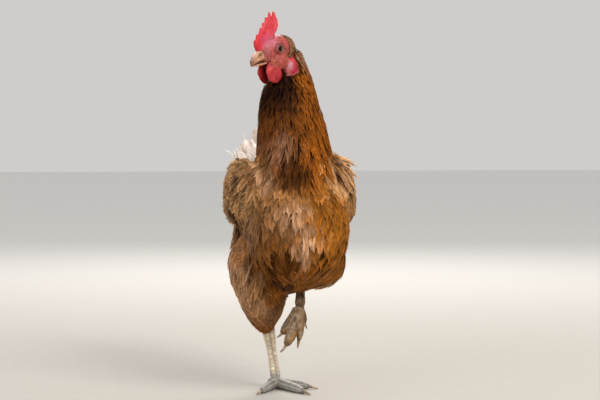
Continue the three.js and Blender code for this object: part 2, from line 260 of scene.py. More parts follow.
def tones_of(mesh: Mesh) -> Array:
    """Returns the colour that is stored on each vertex."""
    return read(mesh.color_attributes["tone"].data, "color", 4)[:, :3].astype(float)


def triangles_of(mesh: Mesh, what: str = "vertices") -> Array:
    """Returns a mesh's triangles, as the numbers of their vertices or of their loops."""
    mesh.calc_loop_triangles()
    return read(mesh.loop_triangles, what, 3, np.int32)


def move_points(mesh: Mesh, points: Array) -> None:
    """Gives a mesh's vertices new places."""
    write(mesh.vertices, "co", points)
    mesh.update()


def paint(mesh: Mesh, tones: Array, name: str = "tone") -> None:
    """Stores one colour for each vertex, in an attribute that the materials read."""
    layer = mesh.color_attributes.get(name) or mesh.color_attributes.new(name, "FLOAT_COLOR", "POINT")
    write(layer.data, "color", np.concatenate([np.clip(tones, 0, 1), np.ones((len(tones), 1))], axis=1))


def new_object(name: str, data: Any) -> Piece:
    """Adds an object to the scene.

    Args:
        name: Its name.
        data: Its mesh, light or camera.

    Returns:
        The new object, at the origin.
    """
    piece = bpy.data.objects.new(name, data)
    bpy.context.scene.collection.objects.link(piece)
    return piece


def new_piece(name: str, points: Array, triangles: Array, tones: Array) -> Piece:
    """Makes a painted object from arrays.

    Args:
        name: The object's name.
        points: Its vertices.
        triangles: The numbers of the vertices of each triangle.
        tones: The colour at each vertex.

    Returns:
        The new object.
    """
    mesh = bpy.data.meshes.new(name)
    mesh.vertices.add(len(points))
    write(mesh.vertices, "co", points)
    mesh.loops.add(triangles.size)
    write(mesh.loops, "vertex_index", triangles, np.int32)
    mesh.polygons.add(len(triangles))
    write(mesh.polygons, "loop_start", np.arange(0, triangles.size, 3), np.int32)
    mesh.update(calc_edges=True)
    paint(mesh, tones)
    return new_object(name, mesh)


def select_only(piece: Piece) -> None:
    """Makes one object the only selected one, and the active one.

    Args:
        piece: The object.
    """
    bpy.ops.object.select_all(action="DESELECT")
    piece.select_set(True)
    bpy.context.view_layer.objects.active = piece


def use_modifier(piece: Piece, kind: str, **settings: Any) -> None:
    """Adds a modifier with these settings and applies it.

    Args:
        piece: The object that it changes.
        kind: The modifier's type.
        **settings: Its settings.
    """
    select_only(piece)
    modifier = piece.modifiers.new(kind.title(), kind)
    for name, value in settings.items():
        setattr(modifier, name, value)
    bpy.ops.object.modifier_apply(modifier=modifier.name)


def edit_mesh(piece: Piece, tool: Callable[..., Any], near: Callable[[Array], bool] | None = None,
              **settings: Any) -> None:
    """Runs one of edit mode's tools on an object.

    Args:
        piece: The object.
        tool: The tool.
        near: Says of a face's middle whether the face is worked on. Without it, all of them are.
        **settings: The tool's settings.
    """
    select_only(piece)
    bpy.ops.object.mode_set(mode="EDIT")
    bpy.ops.mesh.select_all(action="DESELECT" if near else "SELECT")
    if near:
        for face in bmesh.from_edit_mesh(piece.data).faces:
            face.select = near(np.array(face.calc_center_median()))
        bmesh.update_edit_mesh(piece.data)
    tool(**settings)
    bpy.ops.object.mode_set(mode="OBJECT")


def smoothed(piece: Piece) -> Piece:
    """Shades an object smooth.

    Args:
        piece: The object.

    Returns:
        The same object.
    """
    select_only(piece)
    bpy.ops.object.shade_smooth()
    return piece


def kd_tree(points: Array) -> KDTree:
    """Builds a search tree over points.

    Args:
        points: The points, one row each.

    Returns:
        The tree.
    """
    tree = KDTree(len(points))
    for number, point in enumerate(points.tolist()):
        tree.insert(point, number)
    tree.balance()
    return tree


def faces_under(tree: BVHTree, points: Array) -> Array:
    """Returns the number of the triangle that is nearest to each point."""
    return np.array([tree.find_nearest(point)[2] for point in points.tolist()])


def wall(first: int, rings: int, corners: int) -> list[tuple[int, int, int]]:
    """Joins rings of vertices that follow each other.

    Args:
        first: The first vertex of the first ring.
        rings: How many rings there are.
        corners: How many vertices each has.

    Returns:
        The triangles between them.
    """
    faces = []
    for start in range(first, first + (rings - 1) * corners, corners):
        for corner in range(corners):
            here, there = start + corner, start + (corner + 1) % corners
            faces += [(here, there, there + corners), (here, there + corners, here + corners)]
    return faces


@dataclass
class Solids:
    """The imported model's solids, in the hen's own frame."""

    hen: Hen
    nodes: dict[str, Piece]

    def welded(self, name: str) -> bmesh.types.BMesh:
        """Copies one node and merges its loose triangles.

        Args:
            name: The node.

        Returns:
            The copy.
        """
        solid = bmesh.new()
        solid.from_mesh(self.nodes[name].data)
        bmesh.ops.remove_doubles(solid, verts=solid.verts, dist=1e-6)
        solid.normal_update()
        for vertex in solid.verts:
            vertex.co = Vector(self.hen.millimetres(np.array(vertex.co)))
        return solid

    def copy(self, name: str, nodes: Sequence[str], swell: float = 0.0) -> Piece:
        """Joins copies of nodes in one object.

        Args:
            name: The object's name.
            nodes: The nodes that are copied.
            swell: How far each copy grows, so that it reaches into its neighbours.

        Returns:
            The object, in millimetres in the hen's own frame.
        """
        mesh = bpy.data.meshes.new(name)
        joined = bmesh.new()
        for node in nodes:
            solid = self.welded(node)
            for vertex in solid.verts:
                vertex.co += vertex.normal * swell
            solid.to_mesh(mesh)
            joined.from_mesh(mesh)
        joined.to_mesh(mesh)
        return new_object(name, mesh)

    def tree(self, name: str) -> BVHTree:
        """Returns a search tree over one node's surface."""
        return BVHTree.FromBMesh(self.welded(name))

    def nearest(self, points: Array, names: Sequence[str]) -> Array:
        """Returns the number of the nearest of the named nodes, for each point."""
        finders = [self.tree(name).find_nearest for name in names]
        return np.argmin([[find(point)[3] for point in points.tolist()] for find in finders], axis=0)


def finish_piece(piece: Piece, hen: Hen, materials: Sequence[Material],
                 replaces: Sequence[str] = ()) -> None:
    """Turns a piece into metres and hands it to the frame.

    Args:
        piece: The object, in millimetres in the hen's own frame.
        hen: Gives the place of that frame.
        materials: What its faces are dressed in.
        replaces: The nodes that it stands for.
    """
    move_points(piece.data, hen.metres(points_of(piece.data)))
    for material in materials:
        piece.data.materials.append(material)
    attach(piece, "root")
    if replaces:
        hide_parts(*replaces)
    log.info("%s: %d triangles", piece.name, len(triangles_of(piece.data)))


# ---------------- shader maths


class Wire:
    """One output of a node, with the arithmetic that adds more nodes."""

    def __init__(self, sheet: Sheet, socket: bpy.types.NodeSocket) -> None:
        """Keeps the material's sheet of nodes and the socket."""
        self.sheet, self.socket = sheet, socket

    def _join(self, operation: str, first: Term, second: Term) -> Wire:
        """Adds a node that works on two values or two vectors.

        Args:
            operation: What it does.
            first: The first value, colour or wire.
            second: The second.

        Returns:
            The result.
        """
        wide = any(isinstance(t, tuple) or isinstance(t, Wire) and t.socket.type != "VALUE"
                   for t in (first, second))
        kind = "ShaderNodeVectorMath" if wide else "ShaderNodeMath"
        terms = [(t, t, t) if wide and isinstance(t, (int, float)) else t for t in (first, second)]
        return self.sheet.add(kind, {"operation": operation}, dict(enumerate(terms)))

    def __add__(self, other: Term) -> Wire:
        """Adds."""
        return self._join("ADD", self, other)

    def __sub__(self, other: Term) -> Wire:
        """Subtracts."""
        return self._join("SUBTRACT", self, other)

    def __rsub__(self, other: Term) -> Wire:
        """Subtracts from a number."""
        return self._join("SUBTRACT", other, self)

    def __mul__(self, other: Term) -> Wire:
        """Multiplies."""
        return self._join("MULTIPLY", self, other)

    __radd__ = __add__
    __rmul__ = __mul__


Term = Union[Wire, float, tuple]


class Sheet:
    """A material's nodes, ending in one Principled shader."""

    def __init__(self, name: str, **constants: Any) -> None:
        """Starts a material.

        Args:
            name: The material's name.
            **constants: The shader's own sockets that are the same all over, with _ for a space.
        """
        self.material = bpy.data.materials.new(name)
        self.material.use_nodes = True
        self.tree = self.material.node_tree
        self.shader = self.tree.nodes["Principled BSDF"]
        for socket, value in constants.items():
            self.shader.inputs[socket.replace("_", " ").title().replace("Ior", "IOR")].default_value = value

    def add(self, kind: str, settings: dict[str, Any], inputs: dict[Any, Term], output: Any = 0) -> Wire:
        """Adds a node.

        Args:
            kind: The node's type.
            settings: Its own settings, which are set first.
            inputs: The value or the link of each of its sockets.
            output: Which output is given back.

        Returns:
            That output.
        """
        node = self.tree.nodes.new(kind)
        for name, value in settings.items():
            setattr(node, name, value)
        for name, value in inputs.items():
            self.feed(node.inputs[name], value)
        return Wire(self, node.outputs[output])

    def feed(self, socket: bpy.types.NodeSocket, value: Term) -> None:
        """Links a wire to a socket, or sets its value.

        Args:
            socket: The socket.
            value: The wire, number, vector or colour.
        """
        if isinstance(value, Wire):
            self.tree.links.new(value.socket, socket)
        elif isinstance(value, tuple) and socket.type == "RGBA":
            socket.default_value = (*value, 1.0)
        else:
            socket.default_value = value

    def place(self) -> Wire:
        """Returns the object coordinates, in metres."""
        return self.add("ShaderNodeTexCoord", {}, {}, "Object")

    def painted(self, name: str = "tone", output: str = "Color") -> Wire:
        """Returns what is stored on the vertices."""
        return self.add("ShaderNodeAttribute", {"attribute_name": name}, {}, output)

    def noise(self, where: Term, scale: float, detail: float = 3.0, rough: float = 0.55) -> Wire:
        """Returns noise from 0 to 1, its lumps 1 / scale wide."""
        inputs = {"Vector": where, "Scale": scale, "Detail": detail, "Roughness": rough}
        return self.add("ShaderNodeTexNoise", {"noise_dimensions": "3D"}, inputs, "Fac")

    def ramp(self, value: Wire, low: float, high: float) -> Wire:
        """Returns a value's smooth step from 0 at low to 1 at high."""
        inputs = {"Value": value, "From Min": low, "From Max": high}
        return self.add("ShaderNodeMapRange", {"interpolation_type": "SMOOTHSTEP"}, inputs)

    def mix(self, share: Term, first: Term, second: Term) -> Wire:
        """Returns a mix of two colours."""
        return self.add("ShaderNodeMix", {"data_type": "RGBA"}, {0: share, 6: first, 7: second}, 2)

    def finish(self, colour: Term, roughness: Term, relief: Wire | None = None,
               height: float = 0.0) -> Material:
        """Links what varies to the shader.

        Args:
            colour: Its base colour.
            roughness: Its roughness.
            relief: The height of its surface, from 0 to 1.
            height: What a relief of 1 stands for, in metres.

        Returns:
            The finished material.
        """
        self.feed(self.shader.inputs["Base Color"], colour)
        self.feed(self.shader.inputs["Roughness"], roughness)
        if relief is not None:
            bump = self.add("ShaderNodeBump", {}, {"Height": relief, "Distance": height, "Strength": 1.0})
            self.feed(self.shader.inputs["Normal"], bump)
        return self.material


@dataclass(frozen=True)
class FeatherFinish:
    """Barbs that lie side by side, with a soft sheen."""

    name: str
    streak: float = 1.9  # how much the barbs differ in tone
    roughness: float = 0.6
    sheen: float = 0.02  # of the soft light at grazing angles

    def make(self) -> Material:
        """Builds the material.

        Returns:
            The material.
        """
        sheet = Sheet(self.name, sheen_weight=self.sheen, sheen_roughness=0.45,
                      sheen_tint=(1.0, 0.70, 0.50, 1.0), specular_ior_level=0.05,
                      subsurface_weight=0.06, subsurface_scale=0.002,
                      subsurface_radius=(1.0, 0.6, 0.3))
        vane = sheet.add("ShaderNodeUVMap", {"uv_map": "vane"}, {})
        barbs = sheet.noise(vane * (0.13, 0.95, 0.0), 1.0, 3.0, 0.7)
        patches = sheet.noise(sheet.place(), 120.0, 2.0)
        shade = (barbs - 0.5) * self.streak + (patches - 0.5) * 0.5 + 1.0
        return sheet.finish(sheet.painted() * shade, barbs * 0.25 + (self.roughness - 0.12), barbs, 0.0003)


@dataclass(frozen=True)
class FleshFinish:
    """Bare skin: waxy, grained and lit from within."""

    name: str
    pimple: float  # width of one grain, in millimetres
    relief: float  # height of the grains, in millimetres
    roughness: float
    depth: float  # how strongly light passes through
    gloss: float = 0.35  # how strongly the surface reflects

    def make(self) -> Material:
        """Builds the material.

        Returns:
            The material.
        """
        sheet = Sheet(self.name, subsurface_weight=self.depth, subsurface_scale=0.0015,
                      subsurface_radius=(1.0, 0.25, 0.2), specular_ior_level=self.gloss,
                      coat_weight=0.17 * self.gloss, coat_roughness=0.35)
        place = sheet.place()
        grains = sheet.add("ShaderNodeTexVoronoi", {"feature": "SMOOTH_F1"},
                           {"Vector": place, "Scale": 1000.0 / self.pimple}, "Distance")
        mottle = sheet.noise(place, 260.0, 4.0, 0.6)
        shade = (mottle - 0.5) * 0.35 + (0.5 - grains) * 0.12 + 1.0
        return sheet.finish(sheet.painted() * shade, mottle * 0.25 + self.roughness - 0.1,
                            1.0 - grains + mottle * 0.6, self.relief * MM)


@dataclass(frozen=True)
class HornFinish:
    """Horn of the bill and the claws: layered along its length, scratched and satin."""

    name: str
    roughness: float = 0.4
    relief: float = 0.08  # height of its growth lines, in millimetres

    def make(self) -> Material:
        """Builds the material.

        Returns:
            The material.
        """
        sheet = Sheet(self.name, subsurface_weight=0.15, subsurface_scale=0.002, coat_weight=0.2,
                      coat_roughness=0.25, specular_ior_level=0.45)
        layers = sheet.noise(sheet.place() * (1.0, 1.0, 2.4), 700.0, 4.0, 0.65)
        stains = sheet.noise(sheet.place(), 170.0, 3.0)
        shade = (layers - 0.5) * 0.35 + (stains - 0.5) * 0.6 + 1.0
        return sheet.finish(sheet.painted() * shade, layers * 0.3 + self.roughness - 0.1, layers,
                            self.relief * MM)


@dataclass(frozen=True)
class ScaleFinish:
    """Dry scales of the legs, with dust in their furrows."""

    name: str
    dust: Tone = (0.40, 0.36, 0.31)

    def make(self) -> Material:
        """Builds the material.

        Returns:
            The material.
        """
        sheet = Sheet(self.name, specular_ior_level=0.4, subsurface_weight=0.06, subsurface_scale=0.002)
        wear = sheet.noise(sheet.place(), 900.0, 4.0, 0.6)
        patches = sheet.ramp(sheet.noise(sheet.place(), 140.0, 3.0), 0.42, 0.7)
        body = sheet.painted() * ((wear - 0.5) * 0.5 + 1.0)
        return sheet.finish(sheet.mix(patches * 0.45, body, self.dust), wear * 0.3 + 0.42, wear, 0.0002)


@dataclass(frozen=True)
class EyeFinish:
    """A wet eye: a dark pupil in an amber iris, in millimetres."""

    name: str = "wet_eye"
    pupil: float = 2.8  # radius of the pupil
    iris: float = 4.5  # outer radius of the iris
    amber: Tone = (0.085, 0.034, 0.010)
    rim: Tone = (0.26, 0.15, 0.055)  # outer ring of the iris
    black: Tone = (0.004, 0.003, 0.003)

    def make(self) -> Material:
        """Builds the material.

        Returns:
            The material.
        """
        sheet = Sheet(self.name, coat_weight=0.3, coat_roughness=0.02, coat_ior=1.35, specular_ior_level=0.08)
        gaze = sheet.painted("gaze", "Fac")
        rays = sheet.noise(sheet.painted("spokes") * 9.0, 1.0, 3.0, 0.6)
        iris = sheet.mix(rays, (self.amber[0] * 0.5, self.amber[1] * 0.45, self.amber[2] * 0.5), self.amber)
        iris = sheet.mix(sheet.ramp(gaze, self.iris - 0.9, self.iris - 0.2), iris, self.rim)
        share = sheet.ramp(gaze + rays * 0.2, self.pupil - 0.05, self.pupil + 0.2)
        return sheet.finish(sheet.mix(share, self.black, iris), 0.3)


def floor_finish() -> Material:
    """Builds the floor's pale material, with painted shade near the hen that evens out the lights' pool.

    Returns:
        The material.
    """
    sheet = Sheet("pale_floor", specular_ior_level=0.2)
    place = sheet.place()
    fine = sheet.noise(place, 40.0, 5.0, 0.6)
    away = sheet.add("ShaderNodeVectorMath", {"operation": "LENGTH"}, {0: place}, "Value")
    # painted shade: darker within a few tenths of a metre of the hen and paler far off, countering the
    # lights' falloff
    ground = sheet.mix(sheet.ramp(away, 0.3, 3.0), (0.50, 0.475, 0.44), (0.86, 0.85, 0.83))
    return sheet.finish(ground * (fine * 0.1 + 0.95), fine * 0.1 + 0.8)


# ---------------- a skin that feathers grow on


class Surface:
    """A skin as arrays, in millimetres in the hen's own frame, with a search tree."""

    def __init__(self, mesh: Mesh) -> None:
        """Reads the mesh, and its unwrap if it has one.

        Args:
            mesh: The skin's mesh.
        """
        self.points, self.normals, self.triangles = points_of(mesh), normals_of(mesh), triangles_of(mesh)
        self.tree = BVHTree.FromPolygons(self.points.tolist(), self.triangles.tolist(), all_triangles=True)
        self.edges = read(mesh.edges, "vertices", 2, np.int32)
        if mesh.uv_layers:
            self.unwrap = read(mesh.uv_layers[0].uv, "vector", 2)[triangles_of(mesh, "loops")]

    def spread(self, values: Array, rounds: int) -> Array:
        """Evens values out between neighbouring vertices.

        Args:
            values: One value or row for each vertex.
            rounds: How many times each takes half of its neighbours' mean.

        Returns:
            The evened values.
        """
        wide = values.reshape(len(values), -1).astype(float)
        first, second = self.edges.T
        count = np.maximum(np.bincount(self.edges.ravel(), minlength=len(values)), 1)[:, None]
        for _ in range(rounds):
            total = [np.bincount(first, column[second], len(values))
                     + np.bincount(second, column[first], len(values)) for column in wide.T]
            wide = 0.5 * wide + 0.5 * np.stack(total, axis=1) / count
        return wide.reshape(values.shape)

    def on_faces(self, values: Array) -> Array:
        """Returns the mean of a vertex value on each triangle."""
        return values[self.triangles].mean(axis=1)

    def scatter(self, gap: Array, seed: int, crowd: int = 26) -> Array:
        """Picks roots that keep their distance from each other.

        Args:
            gap: The distance between roots at each vertex. Nothing grows where it is 0.
            seed: Which scatter it is.
            crowd: How many places are tried for each root.

        Returns:
            The roots' places.
        """
        rng = np.random.default_rng(seed)
        corners = self.points[self.triangles]
        first, second, third = corners.transpose(1, 0, 2)
        area = np.linalg.norm(np.cross(second - first, third - first), axis=1) / 2
        face_gap = np.where((gap[self.triangles] > 0).all(axis=1), self.on_faces(gap), 0)
        crowding = np.where(face_gap > 0, area / np.maximum(face_gap, 1e-6) ** 2, 0)
        faces = rng.choice(len(area), int(crowding.sum() * crowd), p=crowding / crowding.sum())
        shares = rng.dirichlet((1, 1, 1), len(faces))
        places = np.einsum("ij,ijk->ik", shares, corners[faces])
        tree = kd_tree(places)
        free, kept = np.ones(len(places), bool), []
        for number, place in enumerate(places.tolist()):
            if free[number]:
                kept.append(number)
                free[[found[1] for found in tree.find_range(place, face_gap[faces[number]])]] = False
        return places[kept]


# ---------------- feathers


@dataclass(frozen=True)
class VaneForm:
    """How one kind of feather is cut."""

    barbs: int = 14  # clumps of barbs on each side of the shaft
    widest: float = 0.55  # where the vane is widest, as a share of its length
    bluntness: float = 2.3  # 1 makes a pointed tip, 2 a round one
    camber: float = 0.1  # how far the rims lie under the shaft, as a share of the half width
    core: float = 0.88  # half width of the closed web, as a share of the vane's
    fray: float = 0.1  # how much the clumps' reach varies
    lift: float = 0.22  # how much the clumps' tips stand up or down, in millimetres
    sweep: float = 0.2  # how far a barb runs forward on its way to the rim, as a share of the length
    clump: float = 0.5  # half width of a clump, in millimetres
    shaft: float = 0.0  # half width of the visible shaft at its root, in millimetres, or 0
    point: float = 1.0  # how far the last barbs draw the tip out: 1 makes a long point, 0 a round end

    def half_width(self, share: Array) -> Array:
        """Works out the outline.

        Args:
            share: Places along the vane, from 0 to 1.

        Returns:
            The half width there, where 1 is the widest.
        """
        rise = np.clip(share / self.widest, 0, 1) ** 0.55
        past = np.clip((share - self.widest) / (1 - self.widest), 0, 1)
        return rise * (1 - past**self.bluntness) ** (1 / self.bluntness)


@dataclass
class Plumes:
    """Feathers of one kind, laid but not yet cut, one row each."""

    spine: Array  # points along each shaft, root first
    up: Array  # the outward direction at each of those points
    width: Array  # each vane's full width
    base: Array  # the tone at each root
    tip: Array  # the tone at each tip
    edge: Array  # the tone along each rim
    patch: Array  # where each feather is baked on the unwrap

    def pick(self, chosen: Array) -> Plumes:
        """Returns some of the feathers."""
        return Plumes(*(getattr(self, name)[chosen] for name in self.__dataclass_fields__))

    def lengths(self) -> Array:
        """Returns the length of each shaft, as a column."""
        return np.linalg.norm(np.diff(self.spine, axis=1), axis=2).sum(axis=1)[:, None]


def stations(count: int) -> Array:
    """Returns evenly spaced shares from 0 to 1."""
    return np.arange(count) / (count - 1)


def along(rows: Array, share: Array) -> Array:
    """Reads evenly spaced values between their stations.

    Args:
        rows: The values at the stations of each feather.
        share: Where they are read on each feather, from 0 to 1.

    Returns:
        The values there.
    """
    last = rows.shape[1] - 1
    place = np.clip(share, 0, 1) * last
    low = np.minimum(place.astype(int), last - 1)[..., None]
    part = place[..., None] - low
    before, after = (np.take_along_axis(rows, station, axis=1) for station in (low, low + 1))
    return before * (1 - part) + after * part


def repeated(template: Array, number: int, each: int) -> Array:
    """Returns the triangles of a shape of so many vertices each, repeated so many times."""
    return (template[None] + each * np.arange(number)[:, None, None]).reshape(-1, 3)


class FeatherCutter:
    """Cuts laid feathers out as closed thin meshes.

    Each part of a feather is given as its vertices, the triangles of one feather, the tones, the share of the
    half width and of the length at each vertex, the strand that it lies on, which vertices lie on a rim and
    which triangles are flat.
    """

    PATCH = 0.003  # size of a feather on the unwrap
    GRAIN_SPREAD = 400  # how far the grain of one feather is shifted from the next
    DRAWN_IN = 0.92  # share of the length past which a round end draws its barbs in
    WEB_TOP, WEB_UNDER = 0.06, 0.14  # the web's thickness over and under the shaft's line
    BARB = (0.03, 0.58, 0.58, 1.0)  # how far out the four corners of a clump lie
    SHAFT_TONE = (0.62, 0.42, 0.24)

    def __init__(self, form: VaneForm, seed: int) -> None:
        """Keeps the form and starts the random numbers."""
        self.form, self.rng = form, np.random.default_rng(seed)

    def cut(self, plumes: Plumes) -> Cut:
        """Makes the meshes of all the feathers.

        Args:
            plumes: The laid feathers.

        Returns:
            Vertices, triangles, tones, baking places, vane places, which vertices lie on a rim, and which
            triangles are flat.
        """
        parts = [self._web(plumes), self._barbs(plumes)]
        if self.form.shaft:
            parts.append(self._shaft(plumes))
        chance = self.rng.random((len(plumes.width), 2)) * self.GRAIN_SPREAD
        first, found = 0, []
        for spots, template, tones, side, run, strand, rim, flat in parts:
            number, each = spots.shape[:2]
            triangles = repeated(template, number, each) + first
            first += number * each
            place = plumes.patch[:, None] + self.PATCH * np.stack([0.5 + 0.46 * side, 0.04 + 0.92 * run], -1)
            vane = np.stack([side * plumes.width[:, None] / 2, strand * plumes.lengths()], -1)
            values = (spots, triangles, tones, place, vane + chance[:, None])
            rows = [value.reshape(-1, value.shape[-1]) for value in values]
            found.append((*rows, np.tile(rim, number), np.tile(flat, number)))
        return tuple(np.concatenate(values) for values in zip(*found))

    def _frames(self, plumes: Plumes) -> tuple[Array, Array, Array]:
        """Rolls each feather a little round its shaft.

        Args:
            plumes: The laid feathers.

        Returns:
            The forward, sideways and outward directions along each.
        """
        forward = unit(np.gradient(plumes.spine, axis=1))
        aside = unit(np.cross(forward, plumes.up))
        roll = self.rng.normal(0, 0.07, (len(plumes.width), 1, 1))
        aside = unit(aside * np.cos(roll) + plumes.up * np.sin(roll))
        return forward, aside, unit(np.cross(aside, forward))

    def _tone(self, plumes: Plumes, run: Array, rim: Array) -> Array:
        """Returns the colour at a share of the length and of the half width."""
        return layered(plumes.base[:, None], (plumes.tip[:, None], ease(run, 0.3, 1.0)),
                       (plumes.edge[:, None], np.clip(rim, 0, 1) ** 2 * ease(run, 0.1, 0.8)))

    def _web(self, plumes: Plumes) -> Cut:
        """Makes the closed web of each feather, a thin lens from root to tip.

        Args:
            plumes: The laid feathers.

        Returns:
            The part.
        """
        form, number, last = self.form, *plumes.spine.shape[:2]
        _, aside, up = self._frames(plumes)
        share = 1 - (1 - np.arange(1, last) / last) ** 1.6
        half = plumes.width[:, None, None] / 2 * form.core * form.half_width(share)[None, :, None]
        inner, side, rise = (along(rows, np.tile(share, (number, 1))) for rows in (plumes.spine, aside, up))
        low = rise * half * form.camber
        ring = np.stack([inner - side * half - low, inner + rise * self.WEB_TOP, inner + side * half - low,
                         inner - rise * self.WEB_UNDER], axis=2)
        spots = np.concatenate([plumes.spine[:, :1], ring.reshape(number, -1, 3), plumes.spine[:, -1:]], 1)
        faces, end = wall(1, last - 1, 4), 4 * last - 3
        for corner in range(4):
            beside = (corner + 1) % 4
            faces += [(0, 1 + beside, 1 + corner), (end - 4 + corner, end - 4 + beside, end)]
        across = np.concatenate([[0], np.tile([-1.0, 0, 1, 0], last - 1), [0]])
        outline = form.core * np.concatenate([[0], np.repeat(form.half_width(share), 4), [0]])
        run = np.tile(np.concatenate([[0], np.repeat(share, 4), [1]]), (number, 1))
        tones = self._tone(plumes, run, np.abs(across)[None] * 0.8 + 0 * run)
        rim = np.concatenate([[True], np.tile([True, False, True, False], last - 1), [True]])
        return (spots, np.array(faces), tones, np.tile(across * outline, (number, 1)), run,
                run - np.abs(across) * form.sweep, rim, np.zeros(len(faces), bool))

    def _barbs(self, plumes: Plumes) -> Cut:
        """Makes the clumps of barbs, a thin four-sided splinter each, from the shaft out over the rim.

        Args:
            plumes: The laid feathers.

        Returns:
            The part.
        """
        form, rng, number, each = self.form, self.rng, len(plumes.width), self.form.barbs * 2
        forward, aside, up = self._frames(plumes)
        start = np.linspace(0.06, 0.93, form.barbs).repeat(2)[None] + rng.normal(0, 0.02, (number, each))
        hand = np.tile([-1.0, 1.0], form.barbs)[None] * np.ones((number, 1))
        sweep = form.sweep * (1.1 - 0.35 * start) * rng.uniform(0.85, 1.2, start.shape)
        sweep -= (1 - form.point) * np.maximum(start + sweep - self.DRAWN_IN, 0)
        end = start + sweep
        reach = form.half_width(np.clip(end, 0, 0.985)) * (1 + form.fray * rng.normal(0, 1, start.shape))
        reach = np.maximum(reach, 0.12) * plumes.width[:, None] / 2 * ease(end, 1.28, 0.9)

        def at(share: Array, out: Array, rise: Array) -> Array:
            """Finds points by their place on a feather.

            Args:
                share: The share of its length.
                out: The distance out to the side.
                rise: The height over it.

            Returns:
                The points.
            """
            past = np.maximum(share - 1, 0) * plumes.lengths()
            low = np.abs(out) * form.camber
            return (along(plumes.spine, share) + along(forward, share) * past[..., None]
                    + along(aside, share) * out[..., None] + along(up, share) * (rise - low)[..., None])

        lift = rng.normal(0, form.lift, start.shape)
        root = at(start, hand * reach * 0.03, np.full(start.shape, 0.05))
        tip = at(end, hand * reach, lift)
        middle = at(start + 0.42 * sweep, hand * reach * 0.58, 0.16 + lift * 0.4)
        outward = along(up, start + 0.5 * sweep)
        across = unit(np.cross(outward, unit(tip - root)))
        tilt = rng.normal(0, 0.3, start.shape)[..., None]
        across = across * np.cos(tilt) + outward * np.sin(tilt)
        half = form.clump * rng.uniform(0.7, 1.25, start.shape) * np.minimum(1, plumes.width[:, None] / 7)
        across = across * half[..., None]
        spots = np.stack([root, middle - across, middle + across, tip], axis=2).reshape(number, -1, 3)
        template = repeated(np.array([(0, 1, 2), (3, 2, 1), (0, 3, 1), (0, 2, 3)]), each, 4)
        run = np.stack([start, start + 0.4 * sweep, start + 0.45 * sweep, end], axis=2).reshape(number, -1)
        rim = np.tile([0.0, 0.55, 0.55, 1.0], each)[None] * np.ones((number, 1))
        shade = np.clip(rng.normal(1, 0.24, start.shape), 0.45, 1.6).repeat(4, axis=1)[..., None]
        run = np.clip(run, 0, 1)
        side = (hand[..., None] * np.array(self.BARB)).reshape(number, -1)
        side = np.clip(side * form.half_width(np.clip(run, 0, 0.98)), -1, 1)
        return (spots, template, self._tone(plumes, run, rim) * shade, side, run, np.repeat(start, 4, axis=1),
                np.zeros(4 * each, bool), np.ones(len(template), bool))

    def _shaft(self, plumes: Plumes) -> Cut:
        """Makes the shaft of each feather, a three-sided rod that thins to the tip.

        Args:
            plumes: The laid feathers.

        Returns:
            The part.
        """
        number, last = plumes.spine.shape[:2]
        _, aside, up = self._frames(plumes)
        share = stations(last)
        half = (self.form.shaft * (1 - 0.9 * share))[None, :, None]
        spots = np.stack([plumes.spine - aside * half, plumes.spine + up * (half + 0.15),
                          plumes.spine + aside * half], axis=2).reshape(number, -1, 3)
        faces = [(0, 2, 1), (3 * last - 3, 3 * last - 2, 3 * last - 1)] + wall(0, last, 3)
        run = np.tile(np.repeat(share, 3), (number, 1))
        tones = blend(self._tone(plumes, run, run * 0), self.SHAFT_TONE, 0.55 + 0 * run)
        return (spots, np.array(faces), tones, 0 * run, run, run, np.zeros(3 * last, bool),
                np.zeros(len(faces), bool))


def feather_piece(name: str, parts: Sequence[Cut], hen: Hen, material: Material) -> None:
    """Joins cut feathers in one finished piece.

    Args:
        name: The piece's name.
        parts: What FeatherCutter.cut gave for each kind of feather in it.
        hen: Gives the place of her frame.
        material: What the feathers are dressed in.
    """
    starts = np.cumsum([0] + [len(part[0]) for part in parts])
    triangles = np.concatenate([part[1] + start for part, start in zip(parts, starts)])
    spots, _, tones, bake, vane, rim, flat = (np.concatenate(values) for values in zip(*parts))
    piece = new_piece(name, spots, triangles, tones)
    mesh = piece.data
    for title, places in (("OFBake", bake), ("vane", vane)):
        write(mesh.uv_layers.new(name=title).uv, "vector", places[triangles.ravel()])
    write(mesh.attributes.new("sharp_face", "BOOLEAN", "FACE").data, "value", flat, bool)
    both = rim[read(mesh.edges, "vertices", 2, np.int32)].all(axis=1)
    write(mesh.attributes.new("sharp_edge", "BOOLEAN", "EDGE").data, "value", both, bool)
    finish_piece(piece, hen, [material])


# ---------------- markings


